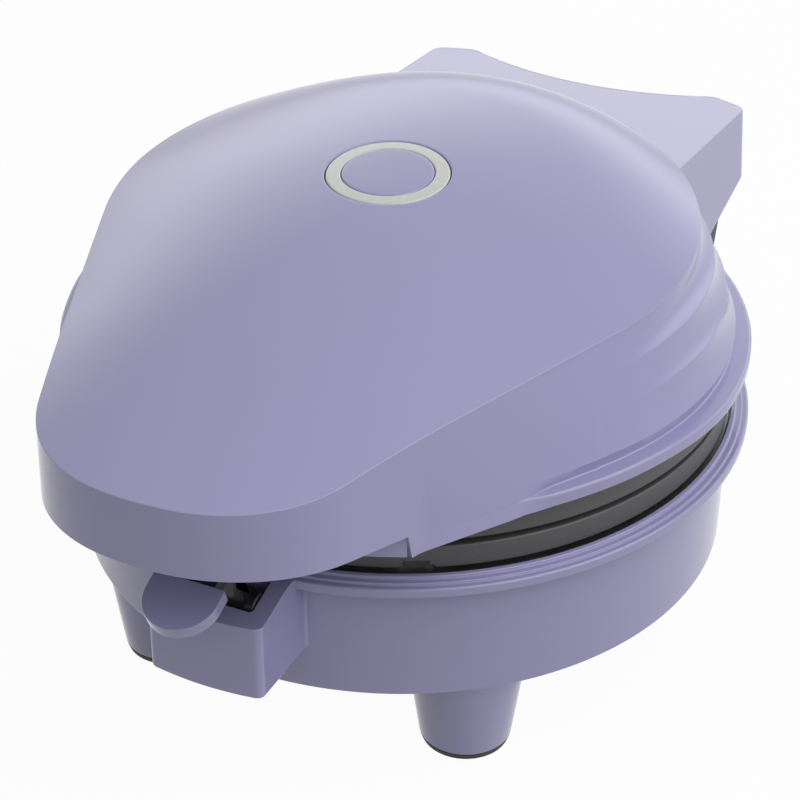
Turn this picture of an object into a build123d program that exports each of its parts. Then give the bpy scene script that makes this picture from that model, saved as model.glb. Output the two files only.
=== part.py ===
from build123d import *
import os
from math import atan, cos, degrees, hypot, radians, sin, sqrt

os.makedirs("parts", exist_ok=True)

# A small round closed grill. The origin is on the table under the centre of the round plates,
# +Z is up and -Y points to the latch nose at the front. All lengths are in millimetres.

# Base tub: its rim flange is the widest circle of the object
rim_radius = 70.0
rim_thickness = 2.1
rim_ridge_width = 1.2
rim_ridge_height = 0.5
rim_ledge = 2.5
rim_lip_width = 1.1
rim_lip_height = 1.1
rim_overhang = 3.7
tub_draft = 0.5
tub_bottom = 20.7
tub_wall = 2.2
tub_floor = 2.4
tub_edge_round = 0.6
shelf_drop = 0.6

# Legs and their rubber pads
leg_inset = 17.05
leg_angle = 50.75
leg_top_radius = 11.7
leg_foot_radius = 9.05
leg_wall = 3.4
pad_height = 1.5
pad_bottom_radius = 8.5
pad_plug_radius = 4.0
pad_plug_height = 2.4

# Latch trough on the front of the tub
trough_half_width = 11.7
trough_wall = 2.0
trough_reach = 13.4
trough_front_bow = 1.1
trough_front_wall = 3.5
trough_height = 15.7
trough_floor = 2.4
trough_back_gap = 0.3
trough_edge_round = 1.6

# Rear wings: the lower one belongs to the tub and the upper one to the lid
wing_half_width = 38.0
wing_corner_reach = 15.2
wing_tip_x = 29.5
wing_tip_reach = 18.7
wing_waist_reach = 10.6
wing_corner_round = 3.5
wing_wall = 1.8
base_wing_height = 12.9
base_wing_grow = 1.0
lid_wing_rise = 15.0
lid_wing_slope = 0.10
lid_wing_drop = 2.7
lid_wing_bottom_slope = 0.138
lid_wing_flare = 1.0

# Hinge
hinge_reach = 11.0
hinge_drop = 0.95
rod_radius = 2.0
rod_recess = 0.2
fixed_fit = 0.02
running_fit = 0.05
barrel_radius = 6.5
ear_outer_x = 36.7
ear_width = 6.2
ear_gap = 0.5
lug_width = 6.0
stem_depth = 12.0
stem_lean = 0.5
bracket_plate = 2.4
bracket_screw_x = 20.0

# Plates: two equal cast plates with a thin gap between their rims
plate_inset = 4.1
plate_gap = 1.1
plate_gap_rise = 7.05
lower_plate_side = 4.7
upper_plate_side = 6.8
plate_rim_width = 7.9
plate_rim_thickness = 2.5
plate_skirt = 1.3
plate_depth = 6.9
plate_floor = 2.5
plate_wall_run = 3.5
plate_wall = 2.3
grill_rib_pitch = 9.0
grill_rib_width = 2.6
grill_rib_height = 2.2
pry_notch_angle = -62.0
pry_notch_width = 5.4
pry_notch_height = 1.4
lug_angles = (-62.0, 58.0, 178.0)
lug_length = 5.0
lug_thickness = 1.2
lug_height = 2.6
lug_inset = 3.1
clip_thickness = 0.6
clip_gap = 0.3
clip_width = 6.0
clip_height = 3.0

# Heating: pressed reflectors, tubular elements and their saddles
sheet = 0.8
bead_inset = 4.3
bead_width = 1.0
lower_dish_depth = 18.4
upper_dish_depth = 24.0
dish_slope_run = 9.6
dish_top_inset = 2.0
element_radius = 3.2
element_inset = 10.0
element_tail_x = 12.0
element_tail_bend = 8.0
element_corner = 24.0
element_tail_inset = 1.1
element_gap = 0.1
tail_hole_clearance = 0.6
saddle_width = 8.0
saddle_thickness = 3.0
boss_radius = 3.5
boss_circle = 27.0
screw_radius = 1.4
screw_head_radius = 2.8
screw_head_height = 1.8
screw_length = 6.5

# Electrical pieces in the base
thermostat_radius = 9.0
thermostat_height = 6.0
thermostat_room = 0.9
fuse_radius = 2.4
fuse_length = 18.0
fuse_y = -18.0
terminal_width = 24.0
terminal_depth = 12.0
terminal_height = 5.6
terminal_inset = 10.5
lead_radius = 1.1
gland_drop = 6.4
gland_radius = 4.2
gland_bore = 2.8
gland_flange_radius = 5.6
gland_flange = 1.6
gland_boss_radius = 6.2
gland_boss_depth = 6.0

# Latch lever with its thumb tab
pivot_reach = 4.5
pivot_drop = 3.6
pin_radius = 1.5
pin_seat = 1.2
pin_end_gap = 0.1
hub_radius = 3.2
hub_gap = 0.5
arm_half_width = 6.0
arm_reach = 10.4
arm_thickness = 2.0
arm_shoulder_rise = 2.6
hook_rise = 2.4
hook_drop = 0.3
hook_thickness = 2.0
hook_clearance = 0.35
tab_radius = 7.2
tab_reach = 18.7
tab_rise = 6.2
tab_slope = 21.4
tab_thickness = 2.6
tab_back_run = 3.2
neck_half_width = 5.0
neck_thickness = 2.2
neck_root_thickness = 3.1
neck_step = 0.2
latch_spring_radius = 1.8
latch_spring_wall = 0.6
latch_spring_foot = 0.4

# Lid: an egg-shaped crown over a stack of round tiers
crown_inset = 11.7
crown_y = -1.2
flank_angle = 21.6
nose_reach = 32.4
nose_front_step = 14.3
nose_corner_step = 14.0
flank_flare = 0.3
crown_rise = 20.36
crown_peak_y = 12.9
crown_length_curve = 0.001286
crown_width_curve = 0.0036
crown_nose_curve = 0.0014
crown_nose_reach = 60.0
crown_rear_drop = 7.1
crown_roll_start = 0.55
crown_roll_limit = 1.6
crown_roll_power = 2.6
crown_roll_fade = 1.75
lid_wall = 2.0
lip_inset = 0.6
lip_rise = 13.5
lip_edge = 0.8
groove_inset = 4.2
groove_rise = 3.1
tier_steps = ((3.9, 5.3), (6.2, 12.6), (9.0, 19.2), (12.4, 25.3))
skirt_reach = 8.5
nose_rise = 8.1
nose_bottom_slope = 0.104
seat_rise = 1.7
stack_inset = 7.1
window_height = 3.4
window_half_width = 7.0

# Light ring on the crown
ring_y = -6.6
ring_outer = 11.95
ring_inner = 9.05
ring_pocket = 12.15
ring_depth = 2.6
badge_radius = 8.93
ring_boss = 14.5
ring_boss_depth = 2.2
board_radius = 12.0
board_thickness = 1.4
lamp_radius = 1.3
lamp_height = 1.9
lamp_clearance = 0.2

# Heights, stacked from the tub's floor to the crown
floor_top = tub_bottom + tub_floor
lower_dish_bottom = floor_top + thermostat_height + thermostat_room
rim_top = lower_dish_bottom + lower_dish_depth
rim_bottom = rim_top - rim_thickness
lip_top = rim_top + rim_lip_height
shelf_z = rim_top - shelf_drop
trough_bottom = rim_bottom - trough_height
base_wing_top = tub_bottom + base_wing_height
gland_z = base_wing_top - gland_drop
plate_gap_middle = rim_top + plate_gap_rise
lower_plate_top = plate_gap_middle - plate_gap / 2
upper_plate_bottom = plate_gap_middle + plate_gap / 2
hinge_z = plate_gap_middle - hinge_drop
upper_dish_top = upper_plate_bottom + upper_dish_depth
crown_peak = upper_dish_top + crown_rise
lip_bottom = rim_top + lip_rise
groove_z = lip_bottom + groove_rise
seat_top = lip_bottom + seat_rise
nose_bottom = lip_bottom + nose_rise
lid_wing_rear_top = lip_bottom + lid_wing_rise
lid_wing_rear_bottom = lip_bottom - lid_wing_drop
pivot_z = rim_top - pivot_drop
arm_shoulder_z = rim_top + arm_shoulder_rise
hook_z = lip_bottom + hook_rise
tab_centre_z = rim_top + tab_rise
spring_top = pivot_z - hub_radius - latch_spring_wall
pocket_z = crown_peak - crown_length_curve * (ring_y - crown_peak_y) ** 2 - ring_depth

# Radii and places in plan, all set out from the rim
rim_lip_radius = rim_radius - rim_ledge
lip_inner_radius = rim_lip_radius - rim_lip_width
tub_radius = rim_radius - rim_overhang
tub_foot_radius = tub_radius - tub_draft
tub_inner = tub_radius - tub_wall
leg_x = (rim_radius - leg_inset) * cos(radians(leg_angle))
leg_y = (rim_radius - leg_inset) * sin(radians(leg_angle))
leg_taper = degrees(atan((leg_top_radius - leg_foot_radius) / (tub_bottom - pad_height)))
leg_places = [(x, y) for x in (-leg_x, leg_x) for y in (-leg_y, leg_y)]
trough_front_y = -rim_radius - trough_reach
trough_back_y = -rim_radius - trough_back_gap
hinge_y = rim_radius + hinge_reach
wing_corner_y = hinge_y + wing_corner_reach
wing_tip_y = hinge_y + wing_tip_reach
wing_waist_y = hinge_y + wing_waist_reach
stem_rear_y = hinge_y - stem_lean
stem_front_y = stem_rear_y - stem_depth
bracket_screw_y = (stem_front_y + stem_rear_y) / 2
bracket_screw_places = [(x, bracket_screw_y) for x in (-bracket_screw_x, bracket_screw_x)]
plate_radius = rim_radius - plate_inset
plate_rim_inner = plate_radius - plate_rim_width
lug_inner_radius = plate_radius - lug_inset
bead_radius = plate_radius - bead_inset
dish_top_radius = bead_radius - dish_top_inset
dish_floor_radius = dish_top_radius - dish_slope_run
element_half_width = dish_floor_radius - element_inset
element_tail_end = bead_radius - element_tail_inset
terminal_y = element_tail_end - terminal_inset
boss_angles = [radians(angle) for angle in (90, 210, 330)]
boss_places = [(boss_circle * cos(angle), boss_circle * sin(angle)) for angle in boss_angles]
pivot_y = -rim_radius - pivot_reach
arm_y = -rim_radius - arm_reach
tab_centre_y = -rim_radius - tab_reach
tab_back_y = tab_centre_y + tab_back_run
spring_y = pivot_y - hub_radius + latch_spring_foot
crown_radius = rim_radius - crown_inset
nose_front_radius = crown_radius - nose_front_step
nose_corner_radius = nose_front_radius - nose_corner_step
nose_tip_y = -rim_radius - nose_reach
lip_radius = rim_radius - lip_inset
groove_radius = rim_radius - groove_inset
stack_bore = rim_radius - stack_inset
skirt_radius = rim_radius + skirt_reach
tier_edges = [(rim_radius - inward, lip_bottom + rise) for inward, rise in tier_steps]
lamp_x = (ring_outer + ring_inner) / 2
lamp_places = [(x, ring_y) for x in (-lamp_x, lamp_x)]


def save(piece, name):
    """Names a finished piece and writes it to its own file."""
    piece.label = name
    export_step(piece, f"parts/{name}.step")


def wing_outline(grow):
    """Plan of a rear wing: straight sides, rounded tips and a concave waist, all moved out by grow."""
    with BuildSketch() as plan:
        with BuildLine():
            side = wing_half_width + grow
            tip_y = wing_tip_y + grow
            Polyline(
                (-wing_tip_x, tip_y),
                (-side, wing_corner_y + grow),
                (-side, tub_radius / 2),
                (side, tub_radius / 2),
                (side, wing_corner_y + grow),
                (wing_tip_x, tip_y),
            )
            ThreePointArc((wing_tip_x, tip_y), (0, wing_waist_y + grow), (-wing_tip_x, tip_y))
        make_face()
        rear_corners = plan.vertices().group_by(Axis.Y)[1:]
        fillet([v for group in rear_corners for v in group], wing_corner_round)
    return plan.sketch


def plate_piece(face, side, up):
    """One coated plate with its cooking face at height face: up is 1 if its back is above it."""
    floor = plate_rim_inner - plate_wall_run
    corner = plate_rim_inner + plate_wall
    back = plate_depth + plate_floor
    with BuildPart() as plate:
        with BuildSketch(Plane.XZ):
            with BuildLine():
                Polyline(
                    (0, face + up * plate_depth),
                    (floor, face + up * plate_depth),
                    (plate_rim_inner, face),
                    (plate_radius, face),
                    (plate_radius, face + up * side),
                    (plate_radius - plate_skirt, face + up * side),
                    (plate_radius - plate_skirt, face + up * plate_rim_thickness),
                    (corner, face + up * plate_rim_thickness),
                    (corner - plate_wall_run - plate_floor / 4, face + up * back),
                    (0, face + up * back),
                    close=True,
                )
            make_face()
        revolve(axis=Axis.Z)
        rib_count = int(2 * floor / grill_rib_pitch) - 1
        with BuildSketch(Plane.XY.offset(face + up * plate_depth)):
            with GridLocations(grill_rib_pitch, 0, rib_count, 1):
                Rectangle(grill_rib_width, 2 * plate_radius)
            Circle(floor, mode=Mode.INTERSECT)
        extrude(amount=-up * grill_rib_height)
        with BuildSketch(Plane.XY.offset(face + up * plate_rim_thickness)):
            for angle in lug_angles:
                with PolarLocations(lug_inner_radius + lug_thickness / 2, 1, start_angle=angle):
                    Rectangle(lug_thickness, lug_length)
        extrude(amount=up * lug_height)
        with BuildSketch(Plane.XY.offset(face + up * side)):
            with PolarLocations(plate_radius, 1, start_angle=pry_notch_angle):
                Rectangle(3 * plate_skirt, pry_notch_width)
        extrude(amount=-up * pry_notch_height, mode=Mode.SUBTRACT)
    return plate.part


def clips_piece(flange, up):
    """Three upright spring leaves on a reflector's flange, each just inside a lug of its plate."""
    middle = lug_inner_radius - clip_gap - clip_thickness / 2
    with BuildPart() as leaves:
        with BuildSketch(Plane.XY.offset(flange)):
            for angle in lug_angles:
                with PolarLocations(middle, 1, start_angle=angle):
                    Rectangle(clip_thickness, clip_width)
        extrude(amount=up * clip_height)
    return leaves.part


def reflector_piece(shelf, dish, bead_end, up):
    """A pressed dish whose flange lies on the shelf: up is 1 if the plate is above the flange."""
    flange = shelf + up * sheet
    rim = lip_inner_radius - clip_gap
    slope_sheet = sheet * 1.1
    with BuildPart() as pressing:
        with BuildSketch(Plane.XZ):
            with BuildLine():
                Polyline(
                    (0, dish),
                    (dish_floor_radius, dish),
                    (dish_top_radius, shelf),
                    (rim, shelf),
                    (rim, flange),
                    (bead_radius, flange),
                    (bead_radius, bead_end),
                    (bead_radius - bead_width, bead_end),
                    (bead_radius - bead_width, flange),
                    (dish_top_radius - slope_sheet, flange),
                    (dish_floor_radius - slope_sheet, dish + up * sheet),
                    (0, dish + up * sheet),
                    close=True,
                )
            make_face()
        revolve(axis=Axis.Z)
        with BuildSketch(Plane.XY.offset(dish)):
            with Locations(boss_places):
                Circle(screw_radius + running_fit)
        extrude(amount=up * sheet, mode=Mode.SUBTRACT)
        with BuildSketch(Plane.XZ.offset(-dish_floor_radius + 2)):
            with Locations((-element_tail_x, element_z(up)), (element_tail_x, element_z(up))):
                Circle(element_radius + tail_hole_clearance)
        extrude(amount=-(bead_radius - dish_floor_radius), mode=Mode.SUBTRACT)
    return pressing.part


def element_z(up):
    """Height of a tubular element, just clear of the back of its plate."""
    face = lower_plate_top if up == 1 else upper_plate_bottom
    return face - up * (plate_depth + plate_floor + element_gap + element_radius)


def element_piece(up):
    """A tube bent to a rounded square with its two tails pointing to the rear."""
    half, inner, tail = element_half_width, element_tail_x, element_tail_end
    height = element_z(up)
    corners = [(inner, tail), (inner, half), (half, half), (half, -half)]
    route = corners + [(-x, y) for x, y in reversed(corners)]
    bends = [element_tail_bend, element_corner - element_tail_bend, element_corner]
    with BuildPart() as tube:
        with BuildLine() as path:
            FilletPolyline([(x, y, height) for x, y in route], radius=bends + bends[::-1])
        with BuildSketch(Plane(origin=path.line @ 0, z_dir=path.line % 0)):
            Circle(element_radius)
        sweep()
    return tube.part


def saddles_piece(dish, up):
    """Three posts that stand on the dish floor and hold the element in a groove."""
    foot = dish + up * sheet
    height = abs(element_z(up) - foot) - element_radius / 2
    places = ((element_half_width, 0, 0), (-element_half_width, 0, 0), (0, -element_half_width, 90))
    with BuildPart() as posts:
        with BuildSketch(Plane.XY.offset(foot)):
            for x, y, turn in places:
                with Locations(Location((x, y, 0), (0, 0, turn))):
                    Rectangle(saddle_width, saddle_thickness)
        extrude(amount=up * height)
        groove = element_radius + fixed_fit
        for x, y, turn in places:
            with Locations(Location((x, y, element_z(up)), (90, turn, 0))):
                Cylinder(groove, 2 * saddle_thickness, mode=Mode.SUBTRACT)
    return posts.part


def screws_piece(places, head_face, up, length):
    """Pan head screws whose heads lie on head_face, with their shanks pointing away from up."""
    with BuildPart() as screws:
        with BuildSketch(Plane.XY.offset(head_face)):
            with Locations(places):
                Circle(screw_head_radius)
        extrude(amount=up * screw_head_height)
        with BuildSketch(Plane.XY.offset(head_face)):
            with Locations(places):
                Circle(screw_radius)
        extrude(amount=-up * length)
    return screws.part


def tube_piece(route, bend, radius):
    """Two mirrored leads: straight runs joined by arcs of one bend radius."""
    with BuildPart() as lead:
        with BuildLine() as path:
            FilletPolyline(route, radius=bend)
        with BuildSketch(Plane(origin=path.line @ 0, z_dir=path.line % 0)):
            Circle(radius)
        sweep()
        mirror(about=Plane.YZ)
    return lead.part


def foot_pad_piece(x, y):
    """A rubber pad whose plug is pressed into the leg."""
    with BuildPart() as pad:
        with BuildSketch(Plane.XY):
            with Locations((x, y)):
                Circle(pad_bottom_radius)
        with BuildSketch(Plane.XY.offset(pad_height)):
            with Locations((x, y)):
                Circle(leg_foot_radius)
        loft(ruled=True)
        with BuildSketch(Plane.XY.offset(pad_height)):
            with Locations((x, y)):
                Circle(pad_plug_radius)
        extrude(amount=pad_plug_height)
    return pad.part


def gland_piece():
    """Bush of the cord inlet: a barrel in the wing's rear boss and a flange outside."""
    face_y = wing_waist_y + base_wing_grow + 1
    with BuildPart() as gland:
        with BuildSketch(Plane.XZ.offset(-face_y)):
            with Locations((0, gland_z)):
                Circle(gland_radius)
        extrude(amount=gland_boss_depth)
        with BuildSketch(Plane.XZ.offset(-face_y)):
            with Locations((0, gland_z)):
                Circle(gland_flange_radius)
        extrude(amount=-gland_flange)
        with BuildSketch(Plane.XZ.offset(-face_y - gland_flange)):
            with Locations((0, gland_z)):
                Circle(gland_bore)
        extrude(amount=gland_boss_depth + gland_flange, mode=Mode.SUBTRACT)
    return gland.part


def hinge_bracket_piece():
    """Two ears on a cross plate, leaning forward from the wing to the hinge barrel."""
    with BuildPart() as bracket:
        with BuildSketch(Plane.YZ.offset(ear_outer_x - ear_width)):
            with BuildLine():
                Polyline(
                    (stem_front_y, base_wing_top),
                    (stem_rear_y, base_wing_top),
                    (hinge_y + barrel_radius * 0.94, hinge_z - barrel_radius * 0.35),
                    (hinge_y - barrel_radius * 0.94, hinge_z + barrel_radius * 0.35),
                    close=True,
                )
            make_face()
            with Locations((hinge_y, hinge_z)):
                Circle(barrel_radius)
        extrude(amount=ear_width)
        mirror(about=Plane.YZ)
        with BuildSketch(Plane.XY.offset(base_wing_top)):
            with Locations((0, (stem_front_y + stem_rear_y) / 2)):
                Rectangle(2 * ear_outer_x, stem_rear_y - stem_front_y)
        extrude(amount=bracket_plate)
        with BuildSketch(Plane.XY.offset(base_wing_top)):
            with Locations(bracket_screw_places):
                Circle(screw_radius + running_fit)
        extrude(amount=bracket_plate, mode=Mode.SUBTRACT)
        with BuildSketch(Plane.YZ.offset(-ear_outer_x)):
            with Locations((hinge_y, hinge_z)):
                Circle(rod_radius + fixed_fit)
        extrude(amount=2 * ear_outer_x, mode=Mode.SUBTRACT)
    return bracket.part


def round_bar(half_length, y, z, radius):
    """A round bar along X, centred on the middle of the object."""
    with BuildPart() as bar:
        with BuildSketch(Plane.YZ.offset(-half_length)):
            with Locations((y, z)):
                Circle(radius)
        extrude(amount=2 * half_length)
    return bar.part


def on_tab(along, depth):
    """Point of the middle section, measured along the tab's top to the rear and down from it."""
    slope = radians(tab_slope)
    y = tab_centre_y + along * cos(slope) + depth * sin(slope)
    z = tab_centre_z + along * sin(slope) - depth * cos(slope)
    return (y, z)


def latch_lever_piece():
    """Hub, slanting web, upright arm with a hook, a spring foot below and a neck for the tab."""
    arm_front = arm_y - arm_thickness / 2
    arm_rear = arm_y + arm_thickness / 2
    hook_tip = -skirt_radius - hook_clearance
    hub_half = trough_half_width - trough_wall - hub_gap
    tab_back = (tab_back_y - tab_centre_y) / cos(radians(tab_slope))
    neck_end = (arm_y - tab_centre_y) / cos(radians(tab_slope))
    with BuildPart() as lever:
        with BuildSketch(Plane.YZ):
            with BuildLine():
                Polyline(
                    (pivot_y, pivot_z + hub_radius),
                    (arm_rear, arm_shoulder_z + 1.5),
                    (arm_rear, hook_z),
                    (hook_tip, hook_z),
                    (hook_tip, hook_z + hook_thickness / 2),
                    (arm_rear, hook_z + hook_thickness),
                    (arm_front, hook_z + hook_thickness),
                    (arm_front, arm_shoulder_z),
                    (pivot_y - hub_radius, pivot_z + hub_radius / 2),
                    (pivot_y - hub_radius, pivot_z),
                    (pivot_y, pivot_z),
                    close=True,
                )
            make_face()
        extrude(amount=arm_half_width, both=True)
        with BuildSketch(Plane.YZ):
            with BuildLine():
                Polyline(
                    on_tab(tab_back, neck_step),
                    on_tab(neck_end, neck_step),
                    on_tab(neck_end, neck_step + neck_root_thickness),
                    on_tab(tab_back, neck_step + neck_thickness),
                    close=True,
                )
            make_face()
        extrude(amount=neck_half_width, both=True)
        add(round_bar(hub_half, pivot_y, pivot_z, hub_radius))
        with BuildSketch(Plane.XY.offset(spring_top)):
            with Locations((0, spring_y)):
                Circle(latch_spring_radius)
        extrude(amount=pivot_z - spring_top)
        add(round_bar(hub_half, pivot_y, pivot_z, pin_radius + running_fit), mode=Mode.SUBTRACT)
    return lever.part


def latch_tab_piece():
    """D-shaped thumb tab: a half-round front, straight sides and a straight back edge."""
    slope = radians(tab_slope)
    centre = (0, tab_centre_y, tab_centre_z)
    face = Plane(origin=centre, x_dir=(1, 0, 0), z_dir=(0, -sin(slope), cos(slope)))
    back = (tab_back_y - tab_centre_y) / cos(slope)
    with BuildPart() as tab:
        with BuildSketch(face):
            with BuildLine():
                ThreePointArc((-tab_radius, 0), (0, -tab_radius), (tab_radius, 0))
                Polyline((tab_radius, 0), (tab_radius, back), (-tab_radius, back), (-tab_radius, 0))
            make_face()
        extrude(amount=-tab_thickness)
        front_edges = tab.edges().filter_by(GeomType.CIRCLE)
        fillet(front_edges, tab_thickness / 5)
    return tab.part


def latch_spring_piece():
    """Space of the coil spring that stands on the trough floor and lifts the lever's foot."""
    with BuildPart() as spring:
        with BuildSketch(Plane.XY.offset(trough_bottom + trough_floor)):
            with Locations((0, spring_y)):
                Circle(latch_spring_radius)
                Circle(latch_spring_radius - latch_spring_wall, mode=Mode.SUBTRACT)
        extrude(amount=spring_top - trough_bottom - trough_floor)
    return spring.part


def base_shell_piece():
    """The tub: a revolved wall and rim with legs, latch trough and rear wing moulded on."""
    ridge_radius = rim_lip_radius + rim_ridge_width
    with BuildPart() as tub:
        with BuildSketch(Plane.XZ):
            with BuildLine():
                Polyline(
                    (0, tub_bottom),
                    (tub_foot_radius, tub_bottom),
                    (tub_radius, rim_bottom),
                    (rim_radius, rim_bottom),
                    (rim_radius, rim_top),
                    (ridge_radius, rim_top),
                    (ridge_radius, rim_top + rim_ridge_height),
                    (rim_lip_radius, rim_top + rim_ridge_height),
                    (rim_lip_radius, lip_top),
                    (lip_inner_radius, lip_top),
                    (lip_inner_radius, shelf_z),
                    (0, shelf_z),
                    close=True,
                )
            make_face()
        revolve(axis=Axis.Z)
        fillet(tub.edges().filter_by(GeomType.CIRCLE).group_by(Axis.Z)[0], tub_edge_round)
        with BuildSketch(Plane.XY.offset(tub_bottom)):
            add(wing_outline(base_wing_grow))
        extrude(amount=base_wing_top - tub_bottom)
        with BuildSketch(Plane.XY.offset(floor_top)):
            add(wing_outline(base_wing_grow - tub_wall))
        extrude(amount=base_wing_top - tub_wall - floor_top, mode=Mode.SUBTRACT)
        with BuildSketch(Plane.XY.offset(trough_bottom)) as trough_plan:
            with BuildLine():
                corner_y = trough_front_y + trough_front_bow
                left = (-trough_half_width, corner_y)
                right = (trough_half_width, corner_y)
                back_y = -tub_radius / 2
                ThreePointArc(left, (0, trough_front_y), right)
                Polyline(right, (trough_half_width, back_y), (-trough_half_width, back_y), left)
            make_face()
            fillet(trough_plan.vertices().group_by(Axis.Y)[0], trough_edge_round)
        extrude(amount=rim_top - trough_bottom)
        with BuildSketch(Plane.YZ):
            with BuildLine():
                Polyline(
                    (trough_front_y - 1, rim_bottom),
                    (trough_front_y + trough_front_wall, rim_bottom - 1.2),
                    (trough_front_y + trough_front_wall, rim_top + 1),
                    (trough_front_y - 1, rim_top + 1),
                    close=True,
                )
            make_face()
        extrude(amount=trough_half_width + 1, both=True, mode=Mode.SUBTRACT)
        with BuildSketch(Plane.XY.offset(trough_bottom + trough_floor)):
            with Locations((0, (trough_front_y + trough_front_wall + trough_back_y) / 2)):
                Rectangle(
                    2 * (trough_half_width - trough_wall),
                    trough_back_y - trough_front_y - trough_front_wall,
                )
        extrude(amount=rim_top - trough_bottom, mode=Mode.SUBTRACT)
        with BuildSketch(Plane.XY.offset(tub_bottom + tub_floor / 2)):
            with Locations(leg_places):
                Circle(leg_top_radius)
        extrude(amount=-(tub_bottom + tub_floor / 2 - pad_height), taper=leg_taper)
        with BuildSketch(Plane.XY.offset(floor_top)):
            Circle(tub_inner)
        extrude(amount=rim_top, mode=Mode.SUBTRACT)
        with BuildSketch(Plane.XY.offset(shelf_z)):
            Circle(lip_inner_radius)
        extrude(amount=rim_top, mode=Mode.SUBTRACT)
        with BuildSketch(Plane.XY.offset(floor_top)):
            with Locations(leg_places):
                Circle(leg_top_radius - leg_wall)
        extrude(amount=-(floor_top - pad_height - pad_plug_height), taper=leg_taper, mode=Mode.SUBTRACT)
        with BuildSketch(Plane.XY.offset(pad_height)):
            with Locations(leg_places):
                Circle(pad_plug_radius + fixed_fit)
        extrude(amount=pad_plug_height, mode=Mode.SUBTRACT)
        with BuildSketch(Plane.XY.offset(floor_top)):
            with Locations(boss_places):
                Circle(boss_radius)
        extrude(amount=lower_dish_bottom - floor_top)
        with BuildSketch(Plane.XY.offset(lower_dish_bottom)):
            with Locations(boss_places):
                Circle(screw_radius + fixed_fit)
        extrude(amount=-screw_length, mode=Mode.SUBTRACT)
        with BuildSketch(Plane.YZ.offset(-trough_half_width + trough_wall - pin_seat)):
            with Locations((pivot_y, pivot_z)):
                Circle(pin_radius + fixed_fit)
        extrude(amount=2 * (trough_half_width - trough_wall + pin_seat), mode=Mode.SUBTRACT)
        with BuildSketch(Plane.XZ.offset(-wing_waist_y - base_wing_grow - 1)):
            with Locations((0, gland_z)):
                Circle(gland_boss_radius)
        extrude(amount=gland_boss_depth)
        with BuildSketch(Plane.XZ.offset(-wing_waist_y - base_wing_grow - 1)):
            with Locations((0, gland_z)):
                Circle(gland_radius + fixed_fit)
        extrude(amount=gland_boss_depth, mode=Mode.SUBTRACT)
        with BuildSketch(Plane.XY.offset(base_wing_top)):
            with Locations(bracket_screw_places):
                Circle(screw_radius + fixed_fit)
        extrude(amount=-tub_wall, mode=Mode.SUBTRACT)
    return tub.part


def crown_outline(grow):
    """Plan of the crown, moved out by grow: a rear circle, two straight flanks and a blunt nose."""
    slant = radians(flank_angle)
    rear = crown_radius + grow
    front = nose_front_radius + grow
    nose_y = nose_tip_y + nose_front_radius
    shoulder = (rear * cos(slant), crown_y - rear * sin(slant))
    drop = shoulder[1] - nose_y
    along = shoulder[0] * sin(slant) + drop * cos(slant)
    run = along + sqrt(along**2 - shoulder[0] ** 2 - drop**2 + front**2)
    corner = (shoulder[0] - run * sin(slant), shoulder[1] - run * cos(slant))
    with BuildSketch() as plan:
        with BuildLine():
            ThreePointArc((-corner[0], corner[1]), (0, nose_y - front), corner)
            Line(corner, shoulder)
            ThreePointArc(shoulder, (0, crown_y + rear), (-shoulder[0], shoulder[1]))
            Line((-shoulder[0], shoulder[1]), (-corner[0], corner[1]))
        make_face()
        fillet(plan.vertices().group_by(Axis.Y)[0], nose_corner_radius + grow)
    return plan.sketch


def crown_height(x, y):
    """Height of the crown: a parabola along Y, a narrower one across, and a soft drop at the rear."""
    reach = min(max(-y / crown_nose_reach, 0), 1)
    nose_share = reach * reach * (3 - 2 * reach)
    across = crown_width_curve + crown_nose_curve * nose_share
    height = crown_peak - crown_length_curve * (y - crown_peak_y) ** 2 - across * x * x
    out = hypot(x, y - crown_y)
    rearward = max(y - crown_y, 0) / max(out, 1)
    roll = max((out / crown_radius - crown_roll_start) / (1 - crown_roll_start), 0)
    roll = roll / (1 + (roll / crown_roll_limit) ** 8) ** 0.125
    return height - crown_rear_drop * rearward**crown_roll_fade * roll**crown_roll_power


def crown_block(inset):
    """The lid's main form, drawn in by inset on every side but the underside."""
    span_x = crown_radius + 4
    front_y = nose_tip_y - 4
    rear_y = crown_y + crown_radius + 4
    steps = 25
    columns = [span_x * (2 * i / (steps - 1) - 1) for i in range(steps)]
    rows = [front_y + (rear_y - front_y) * j / (steps - 1) for j in range(steps)]
    points = [[(x, y, crown_height(x, y) - inset) for x in columns] for y in rows]
    roof = Face.make_surface_from_array_of_points(points, tol=0.02)
    depth = crown_peak
    with BuildPart() as block:
        with BuildSketch(Plane.XY.offset(lip_bottom)):
            add(crown_outline(flank_flare - inset))
        with BuildSketch(Plane.XY.offset(crown_peak + 1)):
            add(crown_outline(-flank_flare * 0.7 - inset))
        loft(ruled=True)
        extrude(to_extrude=roof, amount=depth, dir=(0, 0, -1), mode=Mode.INTERSECT)
    return block.part


def slanted_slab(y, z, slope, above):
    """Everything above, or below, a plane through (y, z) that falls by slope towards the rear."""
    front, rear, far = -130.0, 130.0, 130.0
    edge = far + z if above else z - far
    with BuildPart() as slab:
        with BuildSketch(Plane.YZ):
            with BuildLine():
                Polyline(
                    (front, z + slope * (y - front)),
                    (rear, z + slope * (y - rear)),
                    (rear, edge),
                    (front, edge),
                    close=True,
                )
            make_face()
        extrude(amount=far / 2, both=True)
    return slab.part


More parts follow.
